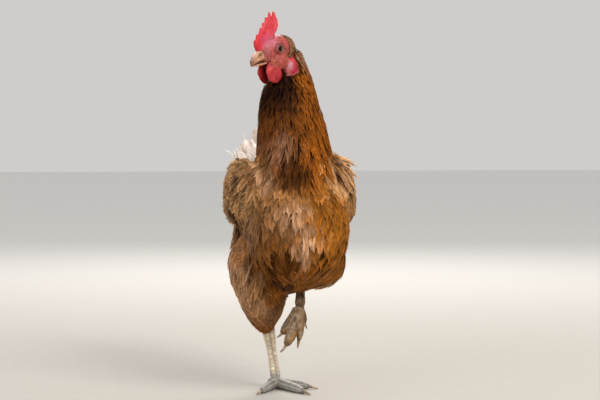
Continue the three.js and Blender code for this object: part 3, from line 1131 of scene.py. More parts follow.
class Marking(Enum):
    """Tones of her plumage, some of them with painted sheen, backlight and shade: at a feather's root, at its
    tip and along its rim.
    """

    # orange-brown feathers of the nape and head, their pale rims partly painted backlight along her outline
    BACKLIT_NAPE = ((0.110, 0.030, 0.008), (0.42, 0.150, 0.050), (0.74, 0.43, 0.26))
    # near-black feathers under the chin and down the front of the neck, partly their own dark mahogany and
    # partly painted shade under the head and wattles
    SHADED_THROAT = ((0.006, 0.002, 0.001), (0.017, 0.004, 0.001), (0.040, 0.011, 0.003))
    HACKLE = ((0.020, 0.004, 0.001), (0.110, 0.024, 0.002), (0.33, 0.110, 0.018))
    GOLD = ((0.045, 0.009, 0.001), (0.21, 0.044, 0.002), (0.52, 0.170, 0.016))
    # painted sheen: pale lilac highlights laid on the cape's feathers where light glances off them
    PAINTED_SHEEN = ((0.10, 0.042, 0.020), (0.34, 0.175, 0.105), (0.60, 0.40, 0.30))
    BREAST = ((0.115, 0.032, 0.002), (0.28, 0.085, 0.006), (0.45, 0.170, 0.021))
    FAWN = ((0.100, 0.036, 0.008), (0.22, 0.086, 0.020), (0.42, 0.200, 0.078))
    CREAM = ((0.32, 0.130, 0.034), (0.62, 0.295, 0.105), (0.90, 0.60, 0.34))
    PALE = ((0.26, 0.115, 0.046), (0.48, 0.245, 0.120), (0.72, 0.46, 0.29))
    # a dark tone, for dark feathers and also for painted shade in creases, hollows and under the cape
    DARK = ((0.014, 0.004, 0.001), (0.052, 0.014, 0.001), (0.13, 0.040, 0.005))
    # painted shade: the belly's feathers darkened where her underside faces away from the light
    SHADED_BELLY = ((0.060, 0.015, 0.001), (0.20, 0.058, 0.004), (0.36, 0.130, 0.017))
    THIGH = ((0.13, 0.048, 0.012), (0.32, 0.135, 0.040), (0.56, 0.31, 0.150))
    HOCK = ((0.075, 0.018, 0.001), (0.215, 0.056, 0.001), (0.32, 0.098, 0.004))
    WING = ((0.026, 0.008, 0.001), (0.20, 0.068, 0.010), (0.70, 0.40, 0.17))
    BACK = ((0.060, 0.018, 0.002), (0.24, 0.078, 0.010), (0.43, 0.175, 0.040))
    TAIL = ((0.46, 0.33, 0.25), (0.80, 0.69, 0.61), (0.88, 0.81, 0.76))

    @property
    def tones(self) -> Array:
        """Returns the three tones, in a shape that spreads over the points of a skin."""
        return np.array(self.value)[:, None]

    def laid(self, strength: Array, part: float = 1.0) -> tuple[Array, Array]:
        """Returns a part of the three tones as a mark of this strength."""
        return part * self.tones, strength


# ---------------- the coat on her body


class Growth:
    """What grows on a skin: values at each of its vertices, and feathers laid by them."""

    surface: Surface  # the skin
    unwrapped: Surface | None = None  # the skin whose unwrap the feathers are baked on, where it is another
    flow: Array  # the way that they lie
    depth: Array  # how far their tips stand over the skin
    length: Array
    width: Array
    gap: Array  # the distance between their roots, or 0 where none grow
    tones: Array  # at a feather's root, its tip and its rim

    LENGTHS, WIDTHS, RISES = (0.75, 1.15), (0.85, 1.12), (0.93, 1.05)  # shares that feathers differ by
    TURN = 0.17  # how far they turn out of line, in radians

    def along_skin(self, ways: Array, rounds: int = 3) -> Array:
        """Lays directions down on the skin and evens them out.

        Args:
            ways: The directions.
            rounds: How often they are evened out each time.

        Returns:
            The new directions.
        """
        normals = self.surface.normals
        for _ in range(3):
            ways = unit(ways - normals * np.sum(ways * normals, axis=1, keepdims=True))
            ways = self.surface.spread(ways, rounds)
        return unit(ways - normals * np.sum(ways * normals, axis=1, keepdims=True))

    def _march(self, roots: Array, faces: Array, step: Array, turn: Array, count: int) -> tuple[Array, ...]:
        """Walks from each root over the skin, the way that the feathers lie.

        Args:
            roots: Where the walks start.
            faces: The triangles under the roots.
            step: The length of a step.
            turn: How far each walk keeps to one side, in radians.
            count: How many places each has.

        Returns:
            The places, the skin's normals there, and how far feathers stand over it.
        """
        surface = self.surface
        flow, normals = surface.on_faces(self.flow), unit(surface.on_faces(surface.normals))
        depth = surface.on_faces(self.depth)
        spine, up = np.zeros((2, len(roots), count, 3))
        high = np.zeros((len(roots), count))
        for row, (root, face) in enumerate(zip(roots, faces)):
            place, heading = Vector(root), None
            for station in range(count):
                if station:
                    place, _, face, _ = surface.tree.find_nearest(place + heading * step[row])
                normal, way = Vector(normals[face]), Vector(flow[face])
                way = way * math.cos(turn[row]) + normal.cross(way) * math.sin(turn[row])
                heading = heading * 0.5 + way * 0.5 if station else way
                heading = (heading - normal * heading.dot(normal)).normalized()
                spine[row, station], up[row, station], high[row, station] = place, normal, depth[face]
        return spine, up, high

    def lay(self, roots: Array, seed: int, count: int = 7, over: float = 0.0) -> tuple[Plumes, Array]:
        """Lays feathers from their roots along the skin.

        Args:
            roots: Where they grow.
            seed: Which random turns they take.
            count: How many points each shaft has.
            over: How far they lie over the depth of the coat, in millimetres.

        Returns:
            The feathers, and the length of each.
        """
        surface, rng = self.surface, np.random.default_rng(seed)
        faces = faces_under(surface.tree, roots)
        length = surface.on_faces(self.length)[faces] * rng.uniform(*self.LENGTHS, len(roots))
        turn = rng.normal(0, self.TURN, len(roots))
        spine, up, high = self._march(roots, faces, length / (count - 1), turn, count)
        spine[:, 1:-1] = 0.25 * spine[:, :-2] + 0.5 * spine[:, 1:-1] + 0.25 * spine[:, 2:]
        rise = 0.12 + 0.88 * (1 - (1 - stations(count)) ** 2.1)
        high[:, 1:-1] = (high[:, :-2] + high[:, 1:-1] + high[:, 2:]) / 3
        high = (high + over) * rise * rng.uniform(*self.RISES, (len(roots), 1))
        up = unit(up)
        width = surface.on_faces(self.width)[faces] * rng.uniform(*self.WIDTHS, len(roots))
        shade = np.clip(rng.normal(1, 0.15, (len(roots), 1)), 0.6, 1.4)
        tones = [surface.on_faces(tone)[faces] * shade for tone in self.tones]
        seen = self.unwrapped or surface
        patch = seen.unwrap[faces_under(seen.tree, roots)].mean(axis=1)
        return Plumes(spine + up * high[..., None], up, width, *tones, patch), length


class Coat(Growth):
    """Which way the feathers of the body lie, how long they are and what they look like.

    Each zone of the skin has its own values, and they run into each other over a few rows of feathers.
    """

    NODES = ("trunk", "neck", "head", "tail", "wing_left", "wing_right", "thigh_left", "thigh_right")
    TAIL_WAY = (0.0, 0.74, 0.67)
    TAIL_BASE = (0.0, 98.0, 240.0)
    TAIL_DEPTH = 12  # the most that the tail's coverts stand over the skin
    CAPE_X = (-62.0, -50.0, -45.0, -39.0, -34.0, -30.0, -22.0, -5.0, 8.0, 18.0, 29.0, 38.0, 46.0)
    CAPE_Z = (300.0, 276.0, 270.0, 281.0, 275.0, 263.0, 250.0, 242.0, 249.0, 263.0, 280.0, 293.0, 300.0)
    CAPE_HANG = 26.0  # how far the cape's feathers hang over the border of their roots
    # length, width and distance of the feathers, from one end of each zone to the other, in millimetres
    SIZES = (
        {"trunk": (40, 35), "neck": (12, 38), "wing": (30, 25), "thigh": (34, 16), "tail": (56, 56)},
        {"trunk": (18, 13.5), "neck": (2.7, 6.2), "wing": (17, 14), "thigh": (12, 7), "tail": (20, 20)},
        {"trunk": (7.2, 5.6), "neck": (2.1, 3.7), "wing": (7.2, 6), "thigh": (5.2, 3.4), "tail": (6.4, 6.4)},
    )

    def __init__(self, hen: Hen, solids: Solids, surface: Surface, outer: BVHTree) -> None:
        """Works out the values at every vertex of the skin.

        Args:
            hen: Her landmarks.
            solids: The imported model's solids.
            surface: The skin of her body.
            outer: The surface that the tips of her feathers reach.
        """
        self.hen, self.surface = hen, surface
        points = surface.points
        zone = solids.nearest(points, self.NODES)
        self.zone = np.where((zone == self.NODES.index("neck")) & (self._cape(points) < 0.5), 0, zone)
        weight = surface.spread(np.eye(len(self.NODES))[self.zone], 6)
        self.weight = dict(zip(self.NODES, (weight / weight.sum(axis=1, keepdims=True)).T))
        depth = np.array([outer.find_nearest(p)[3] for p in points.tolist()])
        depth = np.where(self.zone == self.NODES.index("tail"), np.minimum(depth, self.TAIL_DEPTH), depth)
        self.depth = surface.spread(depth, 3)
        self.flow = self.along_skin(self._ways(points))
        self.length, self.width, self.gap = self._sizes(points)
        self.tones = self._tones(points)

    def _mixed(self, **values: Any) -> Array:
        """Mixes the values of the zones by how near each vertex is to them.

        Args:
            **values: Each zone's value or values. A zone without one takes that of its kind.

        Returns:
            The mixed values.
        """
        values["head"] = values["neck"]
        total = 0.0
        for name, weight in self.weight.items():
            value = np.asarray(values[name] if name in values else values[name.split("_")[0]], float)
            total = total + (weight[:, None] if value.shape[-1:] == (3,) else weight) * value
        return total

    def _cape(self, points: Array) -> Array:
        """Finds where the feathers of the cape grow, which ends in a point on her breast.

        Args:
            points: The skin's points.

        Returns:
            1 on the cape and 0 below it.
        """
        x, y, z = points.T
        border = np.interp(x, self.CAPE_X, self.CAPE_Z) + self.CAPE_HANG
        return np.maximum(ease(z - border, -5, 5), ease(y, -28, -12))

    def to_hock(self, points: Array) -> Array:
        """Returns how far down its thigh each point is, from 0 to 1 at the hock."""
        left, right = self.hen.hock_distances(points)
        return np.where(points[:, 0] > 4, ease(left, 62, 6), ease(right, 88, 8))

    def _ways(self, points: Array) -> Array:
        """Finds the way that the feathers lie in each zone.

        Args:
            points: The skin's points.

        Returns:
            The way at each point, not yet laid down on the skin.
        """
        x, y, z = points.T
        front, bend = ease(y, 15, -70), ease(y, -5, -60)
        inward = -0.021 * (x + 4) * ease(z, 245, 165) * front
        down = -0.12 - 1.2 * front + 0.35 * ease(z, 235, 275)
        back = (np.array([0.0, 1.0, 0.15]), ease(z, 190, 130) * ease(y, -40, 20) * 0.8)
        vent = ease(y, 52, 84) * ease(z, 120, 150) * (1 - ease(z, 240, 262))
        behind = (side_by_side(-0.012 * x, 0.25, -1.0), vent)
        return self._mixed(trunk=layered(unit(side_by_side(inward, 1.0 - 0.85 * front, down)), back, behind),
                           neck=unit(np.array([0.0, 0.12, -1.0])),
                           wing=unit(side_by_side(0.0, 1.0 - 0.55 * bend, -0.18 - 0.75 * bend)),
                           tail=self.TAIL_WAY,
                           thigh_right=(0.13, 0.26, -0.95),
                           thigh_left=unit(side_by_side(-0.12, 0.35 + 0.5 * ease(y, -20, 30), -0.75)))

    def _sizes(self, points: Array) -> tuple[Array, ...]:
        """Finds the sizes of the feathers.

        Args:
            points: The skin's points.

        Returns:
            Their length, their width and the distance between their roots, at each point.
        """
        down, front, hock = ease(points[:, 2], 405, 265), ease(points[:, 1], 10, -60), self.to_hock(points)
        shares = {"trunk": front, "neck": down, "wing": front, "thigh": hock, "tail": 0.0}
        return tuple(self._mixed(**{zone: blend(*sizes[zone], share) for zone, share in shares.items()})
                     for sizes in self.SIZES)

    def _tones(self, points: Array) -> Array:
        """Lays out the markings, among them painted sheen, painted light and painted shade.

        Args:
            points: The skin's points.

        Returns:
            The tones at the root, the tip and the rim of a feather on each of them.
        """
        x, y, z = (points + self.flow * self.length[:, None] * 0.5).T
        patch, fine = grain(points, 26.0, 3), grain(points, 11.0, 4)

        def spot(middle: tuple[float, float], radii: tuple[float, float]) -> Array:
            """Returns 1 in the middle of an oval mark on her front, and 0 outside it."""
            away = np.hypot((x - middle[0]) / radii[0], (z - middle[1]) / radii[1])
            return ease(away + 0.3 * fine, 1.1, 0.5) * ease(y, -20, -45)

        def line(start: tuple[float, float], end: tuple[float, float], half: float) -> Array:
            """Returns 1 along a narrow mark on her front, and 0 beside it."""
            away = near_line(np.stack([x, z], axis=1), start, end)
            return ease(away + 0.3 * half * fine, half, 0.4 * half) * ease(y, -15, -35)

        # the neck's dark front under the wattles, partly painted shade
        throat_shade = ease(y, -18, -36) * ease(z, 328, 354) * ease(x + 8 * fine, 6, -10)
        gold = ease(x + 9 * fine + 0.5 * (y + 60), -12, 10)
        # painted sheen highlights on the front of the cape
        sheen_highlight = 0.75 * spot((-21, 301), (17, 24)) * (0.8 + fine) + 0.5 * spot((-44, 306), (7, 12))
        # the cape's dark point, partly dark mahogany hackles and partly painted shade where the hackles end
        # over the breast
        point = np.maximum(spot((-13, 268), (19, 28)), 0.7 * spot((-5, 249), (10, 14)))
        # pale patches on the breast, partly pale feather bases and partly painted highlight
        chest = np.maximum(0.8 * spot((-39, 264), (14, 18)), 0.75 * spot((-12, 222), (15, 24)))
        streak = np.maximum(line((8, 208), (-6, 185), 9), 0.7 * line((-1, 182), (-1, 162), 4))
        # painted shade in the creases between breast, belly and thighs
        crease_shade = np.maximum(spot((-25, 171), (20, 14)), line((27, 180), (19, 158), 8))
        crease_shade = np.maximum(crease_shade, line((-34, 150), (-8, 139), 7))
        # painted shade in the hollow where her right wing meets her breast
        armpit_shade = ease(np.linalg.norm(points - (-72.0, -20.0, 222.0), axis=1), 22, 8)
        # cream tops of the wings, partly pale feathers and partly painted highlight where light from above
        # falls on them
        pale_lit_shoulder = np.maximum(ease(z, 236, 264) * ease(x, 20, 34),
                              0.4 * ease(z, 252, 278) * ease(x, -36, -52))
        flank = ease(x + 6 * fine, -46, -60) * ease(z, 236, 214) * ease(y, 30, 0)
        # painted light: the lower front is lighter on her left and darker on her right, as the light falls on
        # it
        lit = 1 + 0.18 * np.clip((x + 8) / 35, -1, 1) * ease(z, 235, 190) * ease(y, 0, -40)
        neck = layered(Marking.HACKLE.tones,
                       Marking.GOLD.laid(np.clip(gold * 0.95 + 0.2 * patch, 0, 1)),
                       Marking.PAINTED_SHEEN.laid(0.6 * np.clip(sheen_highlight, 0, 1)),
                       Marking.DARK.laid(0.95 * point, 0.6),
                       Marking.SHADED_THROAT.laid(np.clip(throat_shade * (0.95 + 0.5 * fine), 0, 1)),
                       Marking.BACKLIT_NAPE.laid(0.75 * ease(z, 380, 400) * ease(y, -45, -25)))
        breast = layered(Marking.FAWN.tones,
                         Marking.BREAST.laid(ease(x + 12 * patch, -28, 14)),
                         # painted shade, darker towards the bottom of the belly
                         Marking.SHADED_BELLY.laid(ease(z + 8 * patch, 212, 176)),
                         Marking.PALE.laid(np.clip(np.maximum(chest, streak) + 0.15 * fine, 0, 1)))
        trunk = layered(Marking.BACK.tones,
                        (breast, ease(y, 20, -30)),
                        Marking.CREAM.laid(0.9 * pale_lit_shoulder * ease(y, 30, -10)),
                        Marking.PALE.laid(0.65 * flank),
                        Marking.DARK.laid(0.95 * crease_shade, 0.65))
        thigh = layered(Marking.THIGH.tones,
                        Marking.HOCK.laid(self.to_hock(points)),
                        Marking.PALE.laid((0.45 + 0.5 * ease(fine, 0.0, 0.7)) * ease(z, 98, 128)))
        wing = layered(Marking.WING.tones,
                       Marking.CREAM.laid(np.clip(0.35 * ease(fine, 0.2, 0.8) + pale_lit_shoulder, 0, 1)))
        tail = layered(Marking.BACK.tones, Marking.TAIL.laid(ease(y, 88, 118)))
        mixed = layered(self._mixed(trunk=trunk, neck=neck, wing=wing, thigh=thigh, tail=tail),
                        Marking.DARK.laid(0.9 * armpit_shade, 0.7))
        return mixed * (lit * (1 + 0.24 * patch + 0.2 * fine))[:, None]


@dataclass(frozen=True)
class CoatPiece:
    """One piece of the coat: which of the roots it takes, and its feathers' form."""

    name: str
    zones: tuple[str, ...]  # the nodes that its roots lie on
    side: int  # 1 for her left, -1 for her right, or 0 for both
    forms: tuple[VaneForm, VaneForm, VaneForm]  # of small, middling and large feathers
    slot: str  # a name for the kind of its feathers
    over: float = 0.0  # how far they lie over the depth of the coat, in millimetres


NARROW = (VaneForm(barbs=5, widest=0.45, bluntness=1.7, clump=0.32, lift=0.15, sweep=0.28, fray=0.2),
          VaneForm(barbs=10, widest=0.42, bluntness=1.6, clump=0.34, lift=0.18, sweep=0.24, fray=0.2),
          VaneForm(barbs=15, widest=0.4, bluntness=1.6, clump=0.36, lift=0.22, sweep=0.22, fray=0.2))
ROUND = (VaneForm(barbs=9, clump=0.4, lift=0.2, core=0.8, fray=0.2),
         VaneForm(barbs=15, clump=0.38, core=0.72, fray=0.3, sweep=0.28, bluntness=2.0, point=0.8),
         VaneForm(barbs=22, clump=0.38, core=0.7, fray=0.32, sweep=0.3, bluntness=1.9, lift=0.4, point=0.8))
SOFT = (VaneForm(barbs=9, clump=0.4, lift=0.35, fray=0.3, core=0.7, sweep=0.25),
        VaneForm(barbs=15, clump=0.42, lift=0.45, fray=0.3, core=0.68, sweep=0.3, bluntness=1.9),
        VaneForm(barbs=22, clump=0.45, lift=0.6, fray=0.3, core=0.66, sweep=0.32, bluntness=1.8))
SHORT = VaneForm(barbs=4, widest=0.5, bluntness=1.5, clump=0.28, lift=0.12, sweep=0.3, fray=0.25)

COAT_PIECES = (
    CoatPiece("hackle_left", ("neck", "head"), 1, NARROW, "hackle", 0.6),
    CoatPiece("hackle_right", ("neck", "head"), -1, NARROW, "hackle", 0.6),
    CoatPiece("body_feathers_left", ("trunk",), 1, ROUND, "plumage"),
    CoatPiece("body_feathers_right", ("trunk",), -1, ROUND, "plumage"),
    CoatPiece("wing_coverts_left", ("wing_left",), 0, ROUND, "plumage"),
    CoatPiece("wing_coverts_right", ("wing_right",), 0, ROUND, "plumage"),
    CoatPiece("thigh_feathers_left", ("thigh_left",), 0, SOFT, "plumage"),
    CoatPiece("thigh_feathers_right", ("thigh_right",), 0, SOFT, "plumage"),
    CoatPiece("tail_coverts", ("tail",), 0, SOFT, "quill"),
)
HEAD_PIECE = CoatPiece("head_feathers", (), 0, (SHORT, SHORT, SHORT), "hackle")


# ---------------- her skin


@dataclass
class Skin:
    """One skin over body, head and legs, inside the solids by the depth of the coat."""

    hen: Hen
    solids: Solids
    body_grid: float = 4.0  # size of the body's mesh, in millimetres
    head_grid: float = 0.55  # of the head's
    leg_grid: float = 0.9  # of the legs'
    swell: float = 0.25  # how far the solids grow into the gaps between them
    tail_stub: float = 34.0  # how far the skin reaches into the tail
    tail_squeeze: float = 0.88  # how much of what lies past that is taken back
    thin_share: float = 0.34  # the most that the coat takes up of a thin part
    thick: float = 20.0  # what a part counts as where a ray finds no far side
    lid_middle: float = 13.5  # from the head's middle plane to the middle of an eye's lids
    lid_reach: float = 8.0  # how far from there the mesh is finer

    HEAD_NODES = ("head", "comb", "wattle_left", "wattle_right", "ear_lobe_left", "ear_lobe_right")
    LEG_NODES = ("shank_left", "shank_right", *(f"{side}_{toe}_toe" for side in SIDES for toe in TOES))
    # how far the skin lies under the feathers' tips where that is the same all over, in millimetres
    DEPTHS = {"trunk": 8.5, "head": 2.0, "tail": 22.0, "wing_left": 4.5, "wing_right": 4.5}

    def _remeshed(self, name: str, nodes: Sequence[str], grid: float, relax: int) -> Piece:
        """Makes one closed skin over several solids.

        Args:
            name: The object's name.
            nodes: The solids.
            grid: Size of its mesh.
            relax: How many times it is smoothed.

        Returns:
            The object.
        """
        piece = self.solids.copy(name, nodes, self.swell)
        use_modifier(piece, "REMESH", mode="VOXEL", voxel_size=grid)
        use_modifier(piece, "SMOOTH", factor=0.5, iterations=relax)
        return piece

    def coat_depth(self, points: Array) -> Array:
        """Works out how far the skin lies under the tips of the feathers, before thin parts limit it.

        Args:
            points: Points on the coat's outer surface.

        Returns:
            The depth at each of them.
        """
        zone = np.array(Coat.NODES)[self.solids.nearest(points, Coat.NODES)]
        hock = np.minimum(*self.hen.hock_distances(points))
        neck = blend(2.2, 6.5, ease(points[:, 2], 405, 290))
        thigh = blend(1.0, 6.0, ease(hock, 8, 60))
        depths = {"neck": neck, "thigh_left": thigh, "thigh_right": thigh, **self.DEPTHS}
        depth = np.select([zone == name for name in Coat.NODES], [depths[name] for name in Coat.NODES])
        face = ease(self.hen.to_head(points)[:, 1], 17, 9) * ease(points[:, 2], 352, 368)
        return np.maximum(depth, 5.5 * face)

    def body(self) -> tuple[Piece, BVHTree]:
        """Makes the body's skin and unwraps it.

        Returns:
            The skin, and a search tree over the coat's outer surface.
        """
        piece = self._remeshed("skin_body", Coat.NODES, self.body_grid, 2)
        outer = Surface(piece.data)
        inward = -outer.normals
        starts = outer.points + inward * 0.5
        across = [outer.tree.ray_cast(Vector(p), Vector(d))[3] or self.thick for p, d in zip(starts, inward)]
        depth = np.minimum(self.coat_depth(outer.points), self.thin_share * np.array(across))
        inner = outer.points + inward * outer.spread(depth, 4)[:, None]
        way = np.array(Coat.TAIL_WAY)
        past = np.maximum((inner - np.array(Coat.TAIL_BASE)) @ way - self.tail_stub, 0)
        move_points(piece.data, inner - self.tail_squeeze * past[:, None] * way)
        use_modifier(piece, "SMOOTH", factor=0.5, iterations=4)
        use_modifier(piece, "REMESH", mode="VOXEL", voxel_size=self.body_grid)
        use_modifier(piece, "SMOOTH", factor=0.5, iterations=3)
        edit_mesh(piece, bpy.ops.uv.smart_project, angle_limit=math.radians(70), island_margin=0.002)
        return piece, outer.tree

    def head(self) -> Piece:
        """Makes the head's skin with its comb, wattles, lobes and lids, shaped and painted.

        Returns:
            The skin.
        """
        hen, head = self.hen, Head(self.hen)
        eyes = tuple(f"eye_{side}" for side in SIDES)
        piece = self._remeshed("skin_head", self.HEAD_NODES + eyes, self.head_grid, 3)
        centres = [hen.from_head(np.array([side * self.lid_middle, 0, 0])) for side in SIDES.values()]
        edit_mesh(piece, bpy.ops.mesh.subdivide,
                  lambda place: any(np.linalg.norm(place - centre) < self.lid_reach for centre in centres),
                  number_cuts=1)
        surface = Surface(piece.data)
        zone = np.array(self.HEAD_NODES)[self.solids.nearest(surface.points, self.HEAD_NODES)]
        local = hen.to_head(surface.points)
        flaps = 1.0 * np.isin(zone, self.HEAD_NODES[2:])
        local = blend(local, surface.spread(local, 14), surface.spread(flaps, 3))
        local = blend(local, surface.spread(local, 110), head.cheek(local))
        local = head.lids(local)
        move_points(piece.data, hen.from_head(local))
        normals = normals_of(piece.data) @ hen.head_axes()
        local = local + normals * head.relief(local, zone)[:, None]
        move_points(piece.data, hen.from_head(local))
        soft = surface.spread(zone[:, None] == np.array(self.HEAD_NODES), 7)
        paint(piece.data, head.tones(local, soft))
        return piece

    def legs(self) -> Piece:
        """Makes the skin of the shanks and toes, the standing leg a little stouter.

        Returns:
            The skin.
        """
        piece = self._remeshed("skin_legs", self.LEG_NODES, self.leg_grid, 1)
        points = points_of(piece.data)
        paint(piece.data, leg_tones(points) * 0.5)
        stout = 1.7 * ease(points[:, 2], 34, 72) * (points[:, 0] < 0)
        move_points(piece.data, points + normals_of(piece.data) * stout[:, None])
        return piece

    def joined(self, body: Piece, coat: Coat, head: Piece, legs: Piece) -> Piece:
        """Joins the three skins in one closed mesh and paints it.

        Args:
            body: The body's skin.
            coat: Its markings.
            head: The head's skin.
            legs: The legs' skin.

        Returns:
            The whole skin, its faces dressed in the first, second and third of its materials.
        """
        paint(body.data, blend(coat.tones[0], coat.tones[1], np.full(len(coat.tones[0]), 0.4)))
        skins = (body, head, legs)
        places, tones = (np.concatenate([get(skin.data) for skin in skins]) for get in (points_of, tones_of))
        kinds = np.repeat([0, 1, 2], [len(skin.data.vertices) for skin in skins])
        for other in (head, legs):
            use_modifier(body, "BOOLEAN", operation="UNION", object=other, solver="MANIFOLD")
            bpy.data.objects.remove(other)
        known, mesh = kd_tree(places), body.data
        match = np.array([known.find(point)[1] for point in points_of(mesh).tolist()])
        paint(mesh, tones[match])
        mesh.materials.clear()
        firsts = [polygon.vertices[0] for polygon in mesh.polygons]
        write(mesh.polygons, "material_index", kinds[match][firsts], np.int32)
        while mesh.uv_layers:
            mesh.uv_layers.remove(mesh.uv_layers[0])
        body.name = "skin"
        return smoothed(body)


# ---------------- her head


@dataclass(frozen=True)
class Head:
    """Shapes and markings of the head, in its own frame: left, back and up from between the eyes."""

    hen: Hen
    opening: float = 4.5  # half width of the open eye, in millimetres
    lid: float = 0.75  # thickness of the lids
    eye_tilt: float = 8.0  # how far the almond of the eye is tilted, in degrees
    # the height of each fold round the eye, its distance from the eye's axis, and its width
    folds: tuple[Place, ...] = ((0.3, 5.1, 0.45), (-0.5, 6.2, 0.42), (0.35, 7.1, 0.5), (-0.3, 8.2, 0.45))

    def eye_polar(self, local: Array, side: float) -> tuple[Array, Array]:
        """Measures where points lie round an eye.

        Args:
            local: The points.
            side: 1 for the left eye, -1 for the right.

        Returns:
            How far each is from the eye's axis, its almond shape evened out, and how far out along it.
        """
        tilt = math.radians(self.eye_tilt)
        y = local[:, 1] * math.cos(tilt) + local[:, 2] * math.sin(tilt)
        z = local[:, 2] * math.cos(tilt) - local[:, 1] * math.sin(tilt)
        return np.hypot(y / 1.06, z / 0.96), side * local[:, 0] - self.hen.eye_offset

    def lids(self, local: Array) -> Array:
        """Opens the skin over the eyes and wraps the lids round them.

        Args:
            local: The skin's points.

        Returns:
            Their new places.
        """
        local, radius = local.copy(), self.hen.eye_radius
        for side in SIDES.values():
            away, out = self.eye_polar(local, side)
            ball = np.sqrt(np.maximum(radius**2 - away**2, 0))
            sheath = np.sqrt(np.maximum((radius + self.lid) ** 2 - away**2, 0))
            folds = sum(height * bell(away - middle, width) for height, middle, width in self.folds)
            lidded = blend(np.maximum(out, sheath) + folds, out + folds, ease(away, 5.6, 7.5))
            shaped = blend(np.where(away < self.opening, ball - 1.0, lidded), out, ease(away, 8.6, 9.9))
            near = (out > 1.5) & (away < 10)
            local[:, 0] = np.where(near, side * (shaped + self.hen.eye_offset), local[:, 0])
        return local

    def cheek(self, local: Array) -> Array:
        """Returns 1 where the cheeks' folds run softly into the face, and 0 elsewhere."""
        x, y, z = local.T
        return (ease(z, -3, -9) * ease(z, -27, -23) * ease(y, -17, -12) * ease(y, 17, 12)
                * ease(np.abs(x), 6, 9))

    def relief(self, local: Array, zone: Array) -> Array:
        """Works out wrinkles, grains, folds and the corners of the mouth.

        Args:
            local: The skin's points.
            zone: The node that each lies on.

        Returns:
            How far each point stands out.
        """
        coarse, middle, fine = grain(local, 5.0, 11), grain(local, 1.9, 12), grain(local, 0.95, 13)
        away, _ = self.eye_polar(local, 1.0)
        rings = np.sin(away * 2.4 + 2.2 * coarse) * ease(away, 16, 9) * ease(away, 6.5, 8)
        face = 0.42 * (0.28 - np.abs(middle) * 0.9) + 0.14 * fine + 0.15 * coarse + 0.2 * rings
        brow = ease(local[:, 2], 5, 10)
        face = face * (1 - 0.75 * brow) - 0.15 - 0.35 * brow
        comb = 0.30 * np.abs(grain(local * (1, 1, 0.55), 1.7, 14)) + 0.16 * fine + 0.25 * coarse
        wattle = 0.32 * coarse + 0.24 * middle + 0.10 * fine
        high = np.where(zone == "comb", comb, np.where(zone == "head", face, wattle))
        for side in SIDES.values():
            away, out = self.eye_polar(local, side)
            high = np.where((out > 0) & (away < 6.2), high * 0.15, high)
            gape = near_line(local, (side * 5.5, -21.0, -11.5), (side * 10.0, -13.0, -14.2))
            high = high - 0.9 * bell(gape, 0.75) + 0.35 * bell(gape - 1.7, 0.7)
        return high

    def tones(self, local: Array, soft: Array) -> Array:
        """Colours the skin: comb, brow, face, lores, lids, wattles and lobes.

        Args:
            local: Its points.
            soft: The share of head, comb, two wattles and two lobes in each point.

        Returns:
            The colour at each point.
        """
        y, z = local[:, 1], local[:, 2]
        coarse, fine = grain(local, 4.2, 21), grain(local, 1.3, 22)
        comb = layered((0.58, 0.020, 0.034),
                       ((0.66, 0.075, 0.10),
                        np.clip(0.4 + 0.5 * coarse + 0.35 * fine, 0, 1) * ease(y + 0.55 * z, -8, 4)),
                       ((0.50, 0.065, 0.14), ease(z, 23, 12) * 0.8 * ease(y, -24, -12)))
        wattle = blend((0.45, 0.026, 0.030), (0.27, 0.008, 0.011),
                       np.clip(0.2 - 0.5 * coarse + ease(z, -20, -13), 0, 1))
        lobe = blend((0.44, 0.009, 0.030), (0.38, 0.105, 0.09), ease(y, 8, 4.5) * ease(z, -14, -22) * 0.8)
        for side in SIDES.values():
            centre = np.linalg.norm((local - (side * 18.0, 7.8, -21.5)) * (0.4, 1.0, 0.6), axis=1)
            lobe = blend(lobe, (0.50, 0.25, 0.31), ease(centre, 5.2, 1.0) * (0.85 + 0.3 * fine))
        parts = (self._face_tones(local, coarse, fine), comb, wattle, wattle, lobe, lobe)
        tone = sum(part * share[:, None] for part, share in zip(parts, soft.T))
        return tone / soft.sum(axis=1, keepdims=True) * (1 + 0.12 * coarse + 0.08 * fine)[:, None]

    def _face_tones(self, local: Array, coarse: Array, fine: Array) -> Array:
        """Colours the bare face, with painted shade in its wrinkles, under the chin and round the lids.

        Args:
            local: The skin's points.
            coarse: Coarse mottling at each.
            fine: Fine mottling.

        Returns:
            The colour at each point.
        """
        x, y, z = local.T
        brow = ease(z, 0, 8) * ease(y, 8, -3)
        gape = ease(y, -4, -15) * ease(z, -6, -11)
        cheek = ease(z, -5, -11) * ease(y, -14, -6)
        ear = bell(y - 11.5, 3.6) * bell(z + 7, 4.5)
        near_eye = np.minimum(*(self.eye_polar(local, side)[0] + 9 * (side * x < 0)
                                for side in SIDES.values()))
        rings = ease(np.sin(near_eye * 2.4 + 2.2 * coarse), -0.2, -0.9) * ease(near_eye, 16, 10)
        # painted shade in the face's wrinkles and in the troughs of the rings round the eyes
        wrinkle_shade = ease(np.abs(grain(local, 2.7, 24)), 0.24, 0.02)
        lines = np.clip(0.75 * wrinkle_shade + 0.6 * rings + ease(grain(local, 1.9, 23), 0.3, 0.7), 0, 1)
